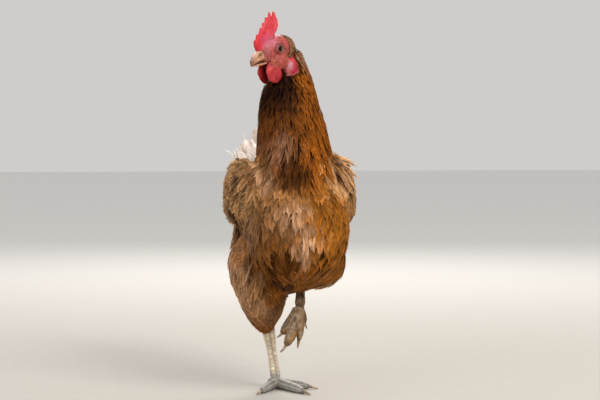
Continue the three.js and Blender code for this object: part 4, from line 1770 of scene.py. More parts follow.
        # painted shadow under the chin, between the wattles
        chin = ease(z, -15, -19) * ease(np.abs(x), 9.5, 7.5)
        face = layered((0.43, 0.055, 0.050),
                       ((0.52, 0.135, 0.19), np.clip(brow * 0.95 + 0.2 * coarse, 0, 1)),
                       ((0.46, 0.105, 0.115), ease(y, -7, -15) * ease(z, 5, -1) * 0.85),
                       ((0.42, 0.120, 0.050), np.clip(gape + 0.2 * fine, 0, 1) * 0.85),
                       ((0.37, 0.070, 0.040), np.clip(cheek + 0.3 * fine, 0, 1) * 0.7),
                       ((0.22, 0.10, 0.04), bell(y + 21, 5) * bell(z - 0.5, 3.0) * 0.8),
                       ((0.27, 0.100, 0.045), np.clip(ear * (0.8 + 0.6 * fine), 0, 1)),
                       ((0.12, 0.009, 0.010), lines * 0.74 * (1 - 0.75 * brow)),
                       ((0.035, 0.010, 0.006), chin * 0.95))
        for side in SIDES.values():
            away, out = self.eye_polar(local, side)
            ring = bell(away - 4.95, 0.36) * (0.12 + 0.88 * ease(y - 0.5 * z, -1, 3.5))
            # the lids' pale rims, then painted shade in the fold round each lid and at its inner edge against
            # the eyeball
            face = layered(face, ((0.46, 0.28, 0.19), ring * (out > 0) * 0.9),
                           ((0.10, 0.016, 0.016), bell(away - 6.1, 0.9) * (out > 0) * 0.7),
                           ((0.03, 0.015, 0.012), ease(away, 4.8, 4.3) * (out > 0)))
        return face

    def feathered(self, local: Array) -> Array:
        """Works out where feathers grow on the head.

        Args:
            local: The skin's points.

        Returns:
            0 in front of a line from the crown by the ear to the chin, and 1 behind it.
        """
        x, y, z = local.T
        border = np.interp(z, (-28, -20, -14, -8, 0, 6, 12, 16, 20), (12, 16, 14.5, 13, 16, 17, 16, 15, 14.5))
        border = np.where((np.abs(x) < 10.5) & (z < -14), -7, border)
        return ease(y - border + 1.2 * grain(local, 4.0, 31), -0.6, 1.4)


class HeadCoat(Growth):
    """The short feathers of crown, ear, nape and chin."""

    def __init__(self, hen: Hen, head: Piece, solids: Solids, body: Surface) -> None:
        """Works out the values on the head's skin.

        Args:
            hen: Her landmarks.
            head: The head's skin.
            solids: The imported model's solids.
            body: The body's skin, which has the unwrap.
        """
        self.surface, self.unwrapped = Surface(head.data), body
        local = hen.to_head(self.surface.points)
        zone = solids.nearest(self.surface.points, Skin.HEAD_NODES)
        x, y, z = local.T
        feathered = Head(hen).feathered(local) * ((zone == 0) | ((zone > 3) & (y > 15)))
        ways = blend((0.0, 0.86, -0.42), (0.0, 0.25, -1.0), ease(y, 13, 23))
        self.flow = self.along_skin(ways @ hen.head_axes().T, 2)
        ear, nape = bell(y - 15, 4) * bell(z + 5, 6), ease(y, 16, 30)
        self.depth = 0.3 + 2.2 * nape + 0.9 * ear
        self.length = 3.8 + 6.5 * nape + 3.2 * ear
        self.width = 0.95 + 1.7 * nape
        self.gap = np.where(feathered > 0.5, 1.0 + 0.85 * nape, 0.0)
        fine, stripes = grain(local, 3.0, 32), grain(local * (1, 0.35, 1), 2.6, 33)
        # painted highlight: paler feathers along the top of the crown, where the light from above falls
        crown_highlight = ease(np.abs(x), 6.5, 3.0) * ease(z, 4, 10)
        self.tones = layered(Marking.BACKLIT_NAPE.tones,
                             Marking.DARK.laid(ease(stripes, 0.0, 0.45) * 0.6),
                             Marking.PALE.laid(np.clip(0.55 * ear * (1 + fine) + 0.25 * crown_highlight, 0, 1)),
                             # painted shade on the short feathers under the chin
                             Marking.SHADED_THROAT.laid(ease(z, -12, -18) * ease(y, 12, 4)))


# ---------------- wings and tail


QUILL = VaneForm(barbs=42, widest=0.5, bluntness=2.4, camber=0.24, core=0.8, fray=0.14, lift=0.35, sweep=0.12,
                 clump=0.5, shaft=0.7)
COVERT = VaneForm(barbs=24, widest=0.6, bluntness=2.3, camber=0.2, core=0.9, fray=0.08, lift=0.25, sweep=0.16,
                  clump=0.8, shaft=0.35)


@dataclass(frozen=True)
class WingRow:
    """A row of the folded wing's feathers, seen from the side as y and z."""

    count: int  # how many feathers it has, from the lowest up
    roots: tuple[tuple[float, float], tuple[float, float]]  # of the lowest and of the highest
    tips: tuple[tuple[float, float], tuple[float, float]]
    width: float  # of each vane
    sink: tuple[float, float]  # how deep the lowest and the highest lie under the wing's outline
    form: VaneForm
    pale: float  # how pale they are, from 0 to 1


WING_ROWS = (
    WingRow(6, ((34, 217), (48, 232)), ((132, 215), (163, 237)), 17, (6.5, 4.5), QUILL, 0.55),
    WingRow(11, ((6, 213), (34, 268)), ((106, 208), (150, 250)), 24, (4.8, 2.4), QUILL, 0.25),
    WingRow(12, ((-16, 214), (8, 277)), ((42, 206), (76, 264)), 18, (2.6, 1.6), COVERT, 0.2),
    WingRow(12, ((-34, 217), (-16, 281)), ((10, 207), (38, 274)), 16, (1.6, 0.8), COVERT, 0.2),
)


@dataclass(frozen=True)
class Tuft:
    """A few loose feathers that stand out of the coat."""

    root: Place  # where they start
    tip: Place  # where they end
    width: float  # of each vane
    count: int
    scatter: float  # how far their roots and tips are scattered
    pale: float  # how much of the marking they have, from 0 to 1
    mark: Marking = Marking.PALE


TUFTS = (
    Tuft((32, -22, 290), (69, -32, 279), 8.0, 8, 2.2, 1.0, Marking.CREAM),
    Tuft((38, -8, 286), (66, -10, 279), 9.0, 6, 2.6, 1.0, Marking.CREAM),
    Tuft((40, -38, 290), (67, -42, 264), 8.0, 8, 2.4, 1.0, Marking.CREAM),
    Tuft((40, -50, 278), (62, -58, 252), 7.0, 6, 2.4, 1.0, Marking.CREAM),
    Tuft((-56, -34, 248), (-68, -35, 228), 6.0, 4, 1.6, 1.0),
    Tuft((-48, -30, 266), (-61, -32, 244), 6.0, 7, 2.4, 0.6),
    Tuft((-60, 2, 222), (-69, 6, 196), 8.0, 8, 1.8, 0.8, Marking.THIGH),
    Tuft((-60, 4, 206), (-70, 8, 176), 9.0, 10, 1.8, 0.9, Marking.THIGH),
    Tuft((-60, 4, 188), (-70, 6, 156), 9.0, 10, 1.8, 0.8),
    Tuft((-60, -2, 164), (-70, -4, 141), 7.0, 6, 1.4, 1.0),
    Tuft((-4, -84, 182), (-3, -80, 162), 5.0, 4, 1.5, 1.0),
    Tuft((-12, 112, 256), (-35, 152, 290), 15.0, 16, 5.0, 1.0, Marking.TAIL),
    Tuft((12, 112, 256), (33, 152, 286), 15.0, 14, 5.0, 1.0, Marking.TAIL),
    Tuft((-6, 114, 262), (-20, 156, 301), 15.0, 12, 5.0, 1.0, Marking.TAIL),
    Tuft((6, 114, 262), (18, 156, 300), 15.0, 12, 5.0, 1.0, Marking.TAIL),
    Tuft((0, 108, 228), (0, 162, 258), 17.0, 14, 7.0, 1.0, Marking.TAIL),
    Tuft((-12, 108, 226), (-14, 129, 192), 15.0, 12, 4.5, 0.8, Marking.THIGH),
    Tuft((12, 108, 226), (14, 129, 192), 15.0, 12, 4.5, 0.8, Marking.THIGH),
    Tuft((-44, -37, 163), (-46, -28, 124), 9.0, 16, 3.6, 0.9, Marking.THIGH),
    Tuft((-57, -32, 168), (-59, -25, 137), 8.0, 9, 3.0, 0.7),
    Tuft((-9, 103, 238), (-14, 141, 210), 14.0, 12, 3.5, 1.0, Marking.THIGH),
    Tuft((9, 103, 238), (14, 141, 210), 14.0, 12, 3.5, 1.0, Marking.THIGH),
    Tuft((-22, 98, 237), (-28, 130, 206), 14.0, 12, 3.5, 0.9, Marking.THIGH),
    Tuft((22, 98, 237), (28, 130, 206), 14.0, 12, 3.5, 0.9, Marking.THIGH),
    Tuft((0, 105, 240), (0, 146, 214), 14.0, 12, 3.5, 0.8),
    Tuft((17, 102, 236), (21, 136, 212), 14.0, 10, 3.0, 1.0, Marking.THIGH),
    Tuft((27, 96, 234), (30, 124, 206), 13.0, 10, 3.0, 1.0, Marking.THIGH),
)


@dataclass
class Quills:
    """Flight feathers of wings and tail and the loose tufts, laid one by one."""

    hen: Hen
    solids: Solids
    body: Surface  # the skin of her body
    tuft_bow: float = 1.6  # how far a loose feather bows outward, in millimetres
    fan: int = 7  # main feathers on each side of the tail
    fan_width: float = 25  # of each of them
    fan_bow: float = 5  # how far they bow

    SHARE = stations(12)  # the places along each shaft

    def _plumes(self, spine: Array, up: Array, width: Array, marks: Sequence[tuple[Marking, float]],
                seed: int) -> Plumes:
        """Gives laid feathers their tones.

        Args:
            spine: Points along the shafts.
            up: Outward directions there.
            width: Full widths.
            marks: Two markings and how much of each.
            seed: Which random tones they take.

        Returns:
            The feathers.
        """
        shade = np.random.default_rng(seed).normal(1, 0.12, (len(spine), 1))
        tones = sum(mark.tones * part for mark, part in marks) * shade
        faces = faces_under(self.body.tree, spine[:, 2])
        return Plumes(spine, up, width, *tones, self.body.unwrap[faces].mean(axis=1))

    def _bowed(self, roots: Array, tips: Array, up: Array, bow: float) -> Array:
        """Draws shafts from roots to tips.

        Args:
            roots: Where they start.
            tips: Where they end.
            up: The way that each bows.
            bow: How far it does in its middle.

        Returns:
            The points along each shaft.
        """
        share = self.SHARE[None, :, None]
        bowed = up[:, None] * (np.sin(math.pi * share) * bow)
        return roots[:, None] + (tips - roots)[:, None] * share + bowed

    def wing_row(self, side: str, row: WingRow, seed: int) -> Plumes:
        """Lays one row of a wing's feathers on the wing's outline.

        Args:
            side: Which wing.
            row: The row.
            seed: Which random turns they take.

        Returns:
            The feathers.
        """
        rng, hand = np.random.default_rng(seed), SIDES[side]
        tree, outward = self.solids.tree(f"wing_{side}"), Vector((hand, 0, 0))
        spine, up = np.zeros((2, row.count, len(self.SHARE), 3))
        for number, part in enumerate(stations(row.count)):
            root = blend(*row.roots, part)
            tip = blend(*row.tips, part) + rng.normal(0, (1.8, 0.9))
            sink = blend(*row.sink, part)
            for station, share in enumerate(self.SHARE):
                y, z = root + (tip - root) * share + np.array([0, 2.5 * math.sin(math.pi * share)])
                place, normal, _, _ = tree.ray_cast(Vector((hand * 200, y, z)), -outward)
                if place is None:
                    place, normal = tree.find_nearest(Vector((hand * 80, y, z)))[0], outward
                x = place[0] - hand * (sink * (1 - 0.5 * share) + 4 * (1 - share) ** 3)
                spine[number, station], up[number, station] = (x, y, z), normal
        for _ in range(3):
            for values in (spine[..., :1], up):
                values[:, 1:-1] = (values[:, :-2] + values[:, 1:-1] + values[:, 2:]) / 3
        up = unit(up + np.array([hand * 0.6, 0, 0]))
        width = row.width * rng.uniform(0.95, 1.05, row.count)
        return self._plumes(spine, up, width, ((Marking.WING, 1 - row.pale), (Marking.PALE, row.pale)), seed)

    def tuft(self, tuft: Tuft, seed: int) -> Plumes:
        """Lays the feathers of one tuft, bowed outward.

        Args:
            tuft: The tuft.
            seed: Which random places they take.

        Returns:
            The feathers.
        """
        rng = np.random.default_rng(seed)
        roots, tips = (np.array(end) + rng.normal(0, tuft.scatter, (tuft.count, 3)) * (1, 0.7, 1)
                       for end in (tuft.root, tuft.tip))
        middle = (roots + tips) / 2
        out = unit(middle - (middle * (0, 0.4, 1) + (-5, 10, -8)))
        ways = unit(tips - roots)
        up = unit(out - ways * np.sum(out * ways, axis=1, keepdims=True))
        marks = ((Marking.WING, 1 - tuft.pale), (tuft.mark, tuft.pale))
        width = tuft.width * rng.uniform(0.8, 1.2, tuft.count)
        return self._plumes(self._bowed(roots, tips, up, self.tuft_bow),
                            np.repeat(up[:, None], len(self.SHARE), axis=1), width, marks, seed)

    def tail_fan(self, side: str, seed: int) -> Plumes:
        """Lays the main feathers of one side of the tail, steep like one side of a roof.

        Args:
            side: Which side.
            seed: Which random turns they take.

        Returns:
            The feathers, the highest first.
        """
        rng, hand, part = np.random.default_rng(seed), SIDES[side], stations(self.fan)
        tips = side_by_side(hand * (3 + 41 * part), 203 - 24 * part**2, 320 - 42 * part)
        tips += rng.normal(0, (1.2, 2.5, 3.5), tips.shape)
        roots = side_by_side(hand * (3 + 9 * part), 98 + 4 * part, 240 - 9 * part)
        lean = np.radians(22 + 50 * part)
        up = side_by_side(hand * np.sin(lean), -0.67 * np.cos(lean), 0.74 * np.cos(lean))
        spine = self._bowed(roots, tips, up, self.fan_bow)
        up = np.repeat(unit(up)[:, None], len(self.SHARE), axis=1)
        width = self.fan_width * rng.uniform(0.95, 1.05, self.fan)
        return self._plumes(spine, up, width, ((Marking.TAIL, 0.75), (Marking.WING, 0.25)), seed)


# ---------------- legs


def leg_tones(points: Array) -> Array:
    """Colours the legs' scales: pale shanks, a dusty grey standing foot and a brown lifted foot, with painted
    shade down one side of it.

    Args:
        points: Points on the legs.

    Returns:
        The colour at each point.
    """
    x, y, z = points.T
    mottle = grain(points, 5.0, 41)
    lifted = np.maximum(ease(z, 96, 104), ease(z, 58, 64) * ease(y, 30, 15))
    tone = layered((0.80, 0.66, 0.47),
                   ((0.36, 0.34, 0.31), ease(z, 30, 12)),
                   ((0.225, 0.125, 0.055), lifted),
                   ((0.33, 0.165, 0.050), lifted * ease(z, 92, 72) * ease(mottle, -0.5, 0.3) * 0.8),
                   # painted shade down the side of the lifted foot towards her right
                   ((0.085, 0.038, 0.024), lifted * ease(x + 2 * mottle, -8, -15) * ease(z, 72, 92) * 0.9))
    return tone * (1 + 0.14 * mottle)[:, None]


@dataclass
class Limb:
    """A shank or a toe: its axis as points, and the way its back faces."""

    axis: Array  # points from its upper end to its lower or outer end
    thick: Array  # its mean radius at each of them
    front: Array  # the way that its large scales face
    skin: BVHTree  # the legs' skin

    LEVELS = 9  # points of the axis

    @classmethod
    def from_solid(cls, solids: Solids, name: str, start: Place, front: Place, skin: BVHTree) -> Limb:
        """Reads the axis from a solid.

        Args:
            solids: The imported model's solids.
            name: The node.
            start: The point where the limb starts.
            front: Roughly the way that its large scales face.
            skin: The legs' skin.

        Returns:
            The limb.
        """
        points = np.array([vertex.co for vertex in solids.welded(name).verts])
        middle = points.mean(axis=0)
        way = np.linalg.svd(points - middle, full_matrices=False)[2][0]
        way = way * np.sign(way @ (middle - start))
        run = (points - middle) @ way
        levels = np.linspace(run.min(), run.max(), cls.LEVELS)
        near = np.abs(run[:, None] - levels) < (levels[1] - levels[0]) * 0.9
        slices = [points[chosen] for chosen in near.T]
        axis = np.array([ring.mean(axis=0) for ring in slices])
        for end in (0, -1):
            axis[end] += (levels[end] - (axis[end] - middle) @ way) * way
        thick = np.array([np.linalg.norm(ring - place, axis=1).mean() for ring, place in zip(slices, axis)])
        return cls(axis, np.minimum(thick, np.median(thick) * 1.25), np.array(front, float), skin)

    def spot(self, run: float, turn: float, high: float) -> Array:
        """Finds a point over the skin.

        Args:
            run: Share of the way along the limb.
            turn: Degrees round it, from the front.
            high: Height over the skin.

        Returns:
            The point.
        """
        centre, after, before = along(self.axis[None], np.array([[run, run + 0.06, run - 0.06]]))[0]
        ahead = unit(after - before)
        out = unit(self.front - ahead * (self.front @ ahead))
        way = out * math.cos(math.radians(turn)) + np.cross(ahead, out) * math.sin(math.radians(turn))
        usual = float(along(self.thick[None, :, None], np.array([[run]]))[0, 0, 0])
        distance = self.skin.ray_cast(Vector(centre), Vector(way), 14.0)[3] or usual
        return centre + way * (min(max(distance, 0.55 * usual), 1.5 * usual) + high)

    @property
    def length(self) -> float:
        """Returns the length of the axis."""
        return float(np.linalg.norm(np.diff(self.axis, axis=0), axis=1).sum())


class Scales:
    """Plates of horn on the legs, gathered in one mesh."""

    CORNERS = 4  # vertices along each side of a plate
    SUNK = 0.8  # how deep a plate's underside lies in the skin, in millimetres

    def __init__(self, seed: int = 61) -> None:
        """Starts with no plates."""
        self.rng = np.random.default_rng(seed)
        self.spots: list[Array] = []
        self.plate_tone_and_shade: list[Array] = []

    def plate(self, limb: Limb, run: float, turn: float, tall: float, wide: float, high: float = 0.5) -> None:
        """Adds one plate, rounded, crowned and a little raised at its lower edge, with painted shade at its
        tucked edges and underside.

        Args:
            limb: What it lies on.
            run: Share of the way along the limb, of its middle.
            turn: Degrees round it.
            tall: Its length along the limb, in millimetres.
            wide: Its width, in degrees.
            high: Its height in the middle, in millimetres.
        """
        sides = np.linspace(-1, 1, self.CORNERS)
        grid = [(u, v) for u in sides for v in sides]
        top, under = [], []
        lean = self.rng.normal(0, 0.04)
        for u, v in grid:
            shrink = 1 - 0.13 * u * u * v * v
            crown = (0.1 + 0.9 * math.sin(math.pi * (0.12 + 0.29 * (u + 1)))) * (1 - 0.75 * abs(v) ** 3)
            place = run + (u * shrink + lean * v) * tall / 2 / limb.length
            angle = turn + v * shrink * wide / 2
            top.append(limb.spot(place, angle, high * crown - 0.08))
            under.append(limb.spot(place, angle, -self.SUNK))
        self.spots.append(np.array(top + under))
        # painted shade: each plate is darker at its upper and side edges, where it tucks under its
        # neighbours, and on its underside, times a random tone
        edge = np.array([max(-u, 0.85 * abs(v)) for u, v in grid] * 2)
        shade = np.repeat([1.0, 0.6], self.CORNERS**2) * (1.1 - 0.65 * edge**2.5)
        self.plate_tone_and_shade.append(shade * self.rng.normal(1, 0.1))

    def template(self) -> Array:
        """Joins the vertices of one plate.

        Returns:
            Its triangles.
        """
        n, under, faces = self.CORNERS, self.CORNERS**2, []
        for i in range(n - 1):
            for j in range(n - 1):
                a, b, c, d = i * n + j, i * n + j + 1, (i + 1) * n + j + 1, (i + 1) * n + j
                faces += [(a, d, c), (a, c, b)]
                faces += [(a + under, c + under, d + under), (a + under, b + under, c + under)]
        first = list(range(n - 1))
        loop = (first + [i * n + n - 1 for i in first] + [n * n - 1 - j for j in first]
                + [(n - 1 - i) * n for i in first])
        for here, there in zip(loop, loop[1:] + loop[:1]):
            faces += [(here, there, there + under), (here, there + under, here + under)]
        return np.array(faces)

    def piece(self) -> Piece:
        """Joins the plates in one object.

        Returns:
            The object.
        """
        spots, plate_tone_and_shade = np.concatenate(self.spots), np.concatenate(self.plate_tone_and_shade)
        triangles = repeated(self.template(), len(self.spots), 2 * self.CORNERS**2)
        piece = new_piece("scales", spots, triangles, leg_tones(spots) * plate_tone_and_shade[:, None])
        edit_mesh(piece, bpy.ops.mesh.normals_make_consistent, inside=False)
        bpy.ops.object.shade_smooth_by_angle(angle=math.radians(50))
        return piece


def dress_shank(scales: Scales, limb: Limb) -> None:
    """Puts two rows of large plates down a shank's front, one down its back and small ones on its sides.

    Args:
        scales: The plates so far.
        limb: The shank.
    """
    for row in range(24):
        for column, turn in enumerate((-29, 29)):
            scales.plate(limb, 0.05 + 0.038 * (row + 0.5 * column), turn, 3.3, 56, 0.7 + 0.03 * row)
    for row in range(20):
        scales.plate(limb, 0.05 + 0.046 * row, 180, 4.6, 66, 0.4)
    for row in range(26):
        for column, turn in enumerate((68, 94, 120, 142)):
            for side in (-1, 1):
                scales.plate(limb, 0.04 + 0.036 * (row + 0.5 * (column % 2)), side * turn, 3.5, 25, 0.35)


def dress_toe(scales: Scales, limb: Limb) -> None:
    """Puts a row of wide plates on a toe's back and small ones on its sides.

    Args:
        scales: The plates so far.
        limb: The toe.
    """
    for share in stations(max(5, int(limb.length / 3.3))):
        run = 0.1 + 0.78 * share
        scales.plate(limb, run, 0, 3.7, 104, 0.75)
        for side in (-1, 1):
            scales.plate(limb, run + 0.02, side * 74, 3.2, 42, 0.3)
            scales.plate(limb, run, side * 112, 3.0, 36, 0.3)


# ---------------- bill, claws and eyes


@dataclass(frozen=True)
class Horn:
    """The horny pieces, both mandibles and the eight claws, and the tongue between the mandibles."""

    hen: Hen
    solids: Solids
    tongue_middle: Place = (0.0, -28.0, -10.9)  # in the head's own frame
    tongue_radii: Place = (3.7, 8.5, 1.7)

    CLAWS = tuple(f"{side}_{toe}_claw" for side in SIDES for toe in TOES)

    def mandible(self, name: str) -> Piece:
        """Makes one mandible with its growth lines, nostrils and worn tip, a painted highlight on its ridge
        and painted shade inside the mouth.

        Args:
            name: Its node.

        Returns:
            The object.
        """
        piece = self.solids.copy(name + "_horn", [name])
        use_modifier(piece, "REMESH", mode="VOXEL", voxel_size=0.35)
        use_modifier(piece, "SMOOTH", factor=0.5, iterations=5)
        local = self.hen.to_head(points_of(piece.data))
        normals = normals_of(piece.data) @ self.hen.head_axes()
        x, y, z = local.T
        lines = 0.07 * np.sin(y * 2.6 + 1.5 * grain(local, 6.0, 51)) + 0.08 * grain(local, 1.4, 52)
        tone = layered((0.66, 0.31, 0.185),
                       ((0.17, 0.066, 0.032), ease(y, -34, -39) * 0.9),
                       # painted highlight: a pale pinkish band along the top of the ridge
                       ((0.62, 0.45, 0.40), ease(z, -8, -3) * ease(np.abs(x), 4.2, 1.2) * 0.85),
                       ((0.24, 0.115, 0.050), 0.55 * ease(grain(local, 4.0, 53), 0.05, 0.6)))
        if name == "bill_upper":
            for side in SIDES.values():
                slit = near_line(local, (side * 5.2, -24.4, -1.6), (side * 4.6, -28.2, -3.2))
                mouth = near_line(local, (side * 4.2, -29.0, -11.2), (side * 5.2, -24.5, -11.8))
                lines = lines - bell(slit, 0.6) + 0.4 * bell(slit - 1.4, 0.5)
                # a brown patch round each nostril; near black in its slit and along the mouth line as painted
                # shade
                tone = layered(tone, ((0.19, 0.095, 0.035), 0.85 * bell(slit, 3.2)),
                               ((0.045, 0.02, 0.01), bell(slit, 0.75)),
                               ((0.07, 0.03, 0.015), 0.9 * bell(mouth, 1.0)))
        # painted shade inside the mouth: the faces of the mandibles that face each other are near black-brown
        inside = ease(normals[:, 2] * (1 if name == "bill_lower" else -1), 0.3, 0.8)
        tone = blend(tone, (0.09, 0.032, 0.022), 0.9 * inside)
        move_points(piece.data, self.hen.from_head(local + normals * lines[:, None]))
        paint(piece.data, tone * (1 + 0.2 * grain(local, 2.2, 54))[:, None])
        return smoothed(piece)

    def tongue(self) -> Piece:
        """Makes the tongue, a slim oval that closes the gap between the mandibles, near black-red as painted
        shade inside the mouth.

        Returns:
            The object.
        """
        bpy.ops.mesh.primitive_uv_sphere_add(segments=24, ring_count=14, radius=1)
        piece = bpy.context.object
        piece.name = "tongue"
        local = points_of(piece.data) * self.tongue_radii + self.tongue_middle
        move_points(piece.data, self.hen.from_head(local))
        # painted shade: the tongue is near black-red so that the gap between the mandibles reads as the dark
        # mouth line
        paint(piece.data, np.array([0.10, 0.022, 0.018]) * (1 + 0.3 * grain(local, 2.0, 56))[:, None])
        return smoothed(piece)

    def claws(self) -> Piece:
        """Makes the eight claws.

        Returns:
            One object of all.
        """
        piece = self.solids.copy("claws", self.CLAWS)
        use_modifier(piece, "SUBSURF", levels=2, render_levels=2)
        points = points_of(piece.data)
        boxes = [[np.array(corner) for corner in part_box(node)] for node in self.CLAWS]
        middles = self.hen.millimetres(np.mean(boxes, axis=1))
        near = np.linalg.norm(points[:, None] - middles, axis=2).min(axis=1)
        tone = blend((0.52, 0.40, 0.26), (0.26, 0.16, 0.09), np.clip(0.5 + grain(points, 3.0, 55), 0, 1))
        paint(piece.data, tone * (1 - 0.05 * near)[:, None])
        return smoothed(piece)


def eyeball(hen: Hen, side: str) -> Piece:
    """Makes an eyeball with a bulging cornea.

    Args:
        hen: Her landmarks.
        side: Which eye.

    Returns:
        The object.
    """
    bpy.ops.mesh.primitive_uv_sphere_add(segments=64, ring_count=48, radius=hen.eye_radius)
    piece = bpy.context.object
    piece.name = f"eyeball_{side}"
    points = points_of(piece.data)
    from_axis = np.arctan2(np.hypot(points[:, 0], points[:, 1]), points[:, 2])
    spokes = unit(points * (1, 1, 0))
    points = points * (1 + 0.045 * ease(from_axis, 0.62, 0.3))[:, None]
    hand = SIDES[side]
    local = np.stack([hand * (points[:, 2] + hen.eye_offset), hand * points[:, 0], points[:, 1]], axis=1)
    move_points(piece.data, hen.from_head(local))
    write(piece.data.attributes.new("gaze", "FLOAT", "POINT").data, "value", from_axis * hen.eye_radius)
    paint(piece.data, spokes * 0.5 + 0.5, "spokes")
    return smoothed(piece)


# ---------------- stage


@dataclass(frozen=True)
class Studio:
    """Floor, lights and camera."""

    hen: Hen
    eye: Place = (-382.05, -1704.5, 300.0)  # where the camera stands, in the hen's own frame
    heading: tuple[float, float] = (0.225, 0.974)  # the way that it looks, seen from above
    dip: float = 2.155  # how far it looks down, in degrees
    lens: float = 86.1  # its focal length on a sensor 36 wide, in millimetres
    lit: Place = (0.0, 0.0, 0.26)  # what the lights face, in metres
    sky: Tone = (1.0, 0.985, 0.965)

    def camera(self) -> None:
        """Adds the camera."""
        data = bpy.data.cameras.new("camera")
        data.lens = self.lens
        camera = new_object("camera", data)
        camera.location = self.hen.metres(self.eye)
        dip = math.radians(self.dip)
        way = Vector((self.heading[0] * math.cos(dip), self.heading[1] * math.cos(dip), -math.sin(dip)))
        camera.rotation_euler = way.to_track_quat("-Z", "Y").to_euler()
        bpy.context.scene.camera = camera

    def floor(self) -> None:
        """Adds a wide pale floor."""
        bpy.ops.mesh.primitive_plane_add(size=30)
        floor = bpy.context.object
        floor.name = "floor"
        floor.data.materials.append(floor_finish())

    def light(self, name: str, place: Place, size: float, power: float, tone: Tone) -> None:
        """Adds a soft square light that faces the hen.

        Args:
            name: The light's name.
            place: Where it hangs, in metres from the point on the floor under her.
            size: Its width in metres.
            power: Its power in watts.
            tone: Its colour.
        """
        data = bpy.data.lights.new(name, "AREA")
        data.size, data.energy, data.color = size, power, tone
        lamp = new_object(name, data)
        lamp.location = place
        lamp.rotation_euler = (Vector(self.lit) - Vector(place)).to_track_quat("-Z", "Y").to_euler()

    def build(self) -> None:
        """Adds floor, lights and camera."""
        self.camera()
        self.floor()
        self.light("key", (0.9, -1.6, 1.7), 0.9, 34.0, (1.0, 0.96, 0.90))
        self.light("fill", (-1.6, -1.1, 0.9), 1.4, 12.0, (1.0, 0.98, 0.95))
        self.light("rim", (0.4, 1.5, 1.5), 0.9, 26.0, (1.0, 0.97, 0.93))
        world = bpy.data.worlds.new("studio")
        world.use_nodes = True
        sky = world.node_tree.nodes["Background"].inputs
        sky["Color"].default_value, sky["Strength"].default_value = (*self.sky, 1.0), 0.62
        bpy.context.scene.world = world
        bpy.context.scene.view_settings.view_transform = "Standard"


# ---------------- all of her


@dataclass
class Feathering:
    """Makes the pieces of the coat."""

    hen: Hen
    coat: Coat  # what grows on her body
    face: Surface  # the skin of her head
    flaps: Sequence[BVHTree]  # the wattles and the lobes
    finish: Material  # of the feathers
    down: Material  # of soft feathers
    sizes: tuple[float, float] = (12.0, 22.0)  # the lengths where middling and large feathers start
    parting: float = -5.0  # where the feathers of her left and right side meet
    under_face: float = 355.0  # feathers that stay under this height don't reach the face
    under_head: float = 380.0  # roots under this height aren't covered by the head
    face_edge: float = 17.0  # the bare face lies in front of this, in the head's own frame
    flap_gap: float = 3.2  # the least distance from wattles and lobes

    def grown(self, roots: Array, piece: CoatPiece, growth: Growth, seed: int) -> list[Cut]:
        """Lays and cuts the feathers of one piece.

        Args:
            roots: Where they grow.
            piece: The piece.
            growth: What they follow.
            seed: Which random turns they take.

        Returns:
            What the cutter gave for each size.
        """
        plumes, length = growth.lay(roots, seed, over=piece.over)
        if growth is self.coat:
            clear = self._clear(plumes)
            plumes, length = plumes.pick(clear), length[clear]
        size = np.digitize(length, self.sizes)
        return [FeatherCutter(form, seed + 10 + number).cut(plumes.pick(size == number))
                for number, form in enumerate(piece.forms) if (size == number).any()]

    def _clear(self, plumes: Plumes) -> Array:
        """Finds the feathers that stay out of the face and clear of the wattles and the lobes.

        Args:
            plumes: The laid feathers.

        Returns:
            Whether each does.
        """
        clear = np.ones(len(plumes.width), bool)
        for number in np.flatnonzero(plumes.spine[:, :, 2].max(axis=1) > self.under_face):
            for point in plumes.spine[number, 1:].tolist():
                place, normal, _, _ = self.face.tree.find_nearest(point)
                bare = self.hen.to_head(np.array(place))[1] < self.face_edge
                sunk = bare and (Vector(point) - place).dot(normal) < 0.5
                if sunk or min(tree.find_nearest(point)[3] for tree in self.flaps) < self.flap_gap:
                    clear[number] = False
        return clear

    def body(self) -> None:
        """Makes the coat of the body, without roots that the head covers."""
        coat = self.coat
        roots = coat.surface.scatter(coat.gap, 5)
        faces = faces_under(coat.surface.tree, roots)
        zone = np.array(coat.NODES)[coat.zone[coat.surface.triangles[faces, 0]]]
        covered = np.zeros(len(roots), bool)
        for number in np.flatnonzero(roots[:, 2] > self.under_head):
            place, normal, _, _ = self.face.tree.find_nearest(roots[number])
            covered[number] = (Vector(roots[number]) - place).dot(normal) < 0 or zone[number] == "head"
        for number, piece in enumerate(COAT_PIECES):
            chosen = np.isin(zone, piece.zones) & ~covered
            if piece.side:
                chosen &= (roots[:, 0] - self.parting) * piece.side > 0
            parts = self.grown(roots[chosen], piece, coat, 100 + 7 * number)
            finish = self.down if piece.forms is SOFT else self.finish
            feather_piece(piece.name, parts, self.hen, finish)

    def head(self, growth: HeadCoat) -> None:
        """Makes the short feathers of the head."""
        parts = self.grown(growth.surface.scatter(growth.gap, 6), HEAD_PIECE, growth, 300)
        feather_piece(HEAD_PIECE.name, parts, self.hen, self.finish)

    def quills(self, quills: Quills) -> None:
        """Makes the flight feathers and the large coverts of the wings, the loose tufts and the tail's fan.

        Args:
            quills: Lays them.
        """
        for side in SIDES:
            parts = [FeatherCutter(row.form, 400 + n).cut(quills.wing_row(side, row, 410 + n))
                     for n, row in enumerate(WING_ROWS)]
            feather_piece(f"wing_quills_{side}", parts, self.hen, self.finish)
        parts = [FeatherCutter(SOFT[1], 450 + n).cut(quills.tuft(tuft, 470 + n))
                 for n, tuft in enumerate(TUFTS)]
        feather_piece("loose_feathers", parts, self.hen, self.down)
        parts = [FeatherCutter(QUILL, 430 + n).cut(quills.tail_fan(side, 440 + n))
                 for n, side in enumerate(SIDES)]
        feather_piece("tail_quills", parts, self.hen, self.finish)


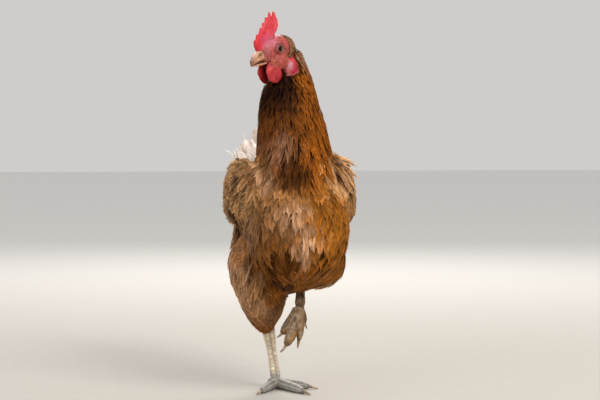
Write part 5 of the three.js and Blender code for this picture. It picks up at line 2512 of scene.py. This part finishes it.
def scaled_legs(hen: Hen, solids: Solids, skin: BVHTree) -> Piece:
    """Makes the plates of both legs.

    Args:
        hen: Her landmarks.
        solids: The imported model's solids.
        skin: The legs' skin.

    Returns:
        The plates as one object.
    """
    scales, level, hanging = Scales(), (0.0, 0.0, 1.0), (0.1, -1.0, 0.2)
    for side, ankle, hock in zip(SIDES, hen.feet, hen.hocks):
        dress_shank(scales, Limb.from_solid(solids, f"shank_{side}", hock, (0.0, -1.0, 0.2), skin))
        front = level if side == "right" else hanging
        for toe in TOES:
            way = tuple(-part for part in front) if side == "left" and toe == "hind" else front
            dress_toe(scales, Limb.from_solid(solids, f"{side}_{toe}_toe", ankle, way, skin))
    return scales.piece()


def main() -> None:
    """Builds the hen and her stage."""
    logging.basicConfig(level=logging.INFO, format="%(message)s")
    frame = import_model()
    bpy.ops.object.select_all(action="DESELECT")
    hen = Hen.from_frame()
    Studio(hen).build()
    solids = Solids(hen, frame["nodes"])
    skin = Skin(hen, solids)
    body, outer = skin.body()
    coat = Coat(hen, solids, Surface(body.data), outer)
    head, legs = skin.head(), skin.legs()
    head_coat = HeadCoat(hen, head, solids, coat.surface)
    leg_tree = Surface(legs.data).tree
    whole = skin.joined(body, coat, head, legs)
    finish_piece(whole, hen,
                 [FleshFinish("feather_bed", 3.0, 0.2, 0.8, 0.0, 0.04).make(),
                  FleshFinish("bare_face", 0.8, 0.16, 0.5, 0.22).make(),
                  FleshFinish("leg_furrows", 1.2, 0.2, 0.7, 0.05).make()],
                 Coat.NODES + Skin.HEAD_NODES[1:] + Skin.LEG_NODES)
    flaps = [solids.tree(name) for name in Skin.HEAD_NODES[2:]]
    feathering = Feathering(hen, coat, head_coat.surface, flaps, FeatherFinish("vanes").make(),
                            FeatherFinish("soft_vanes", 1.5, 0.65, 0.06).make())
    feathering.body()
    feathering.head(head_coat)
    feathering.quills(Quills(hen, solids, coat.surface))
    finish_piece(scaled_legs(hen, solids, leg_tree), hen, [ScaleFinish("dry_scales").make()])
    horn, horn_finish = Horn(hen, solids), HornFinish("bill_horn").make()
    for name in ("bill_upper", "bill_lower"):
        finish_piece(horn.mandible(name), hen, [horn_finish], [name])
    finish_piece(horn.tongue(), hen, [FleshFinish("moist_tongue", 0.5, 0.1, 0.4, 0.3).make()])
    finish_piece(horn.claws(), hen, [HornFinish("claw_horn", 0.5).make()], Horn.CLAWS)
    wet = EyeFinish().make()
    for side in SIDES:
        finish_piece(eyeball(hen, side), hen, [wet], [f"eye_{side}"])


if __name__ == "__main__":
    main()
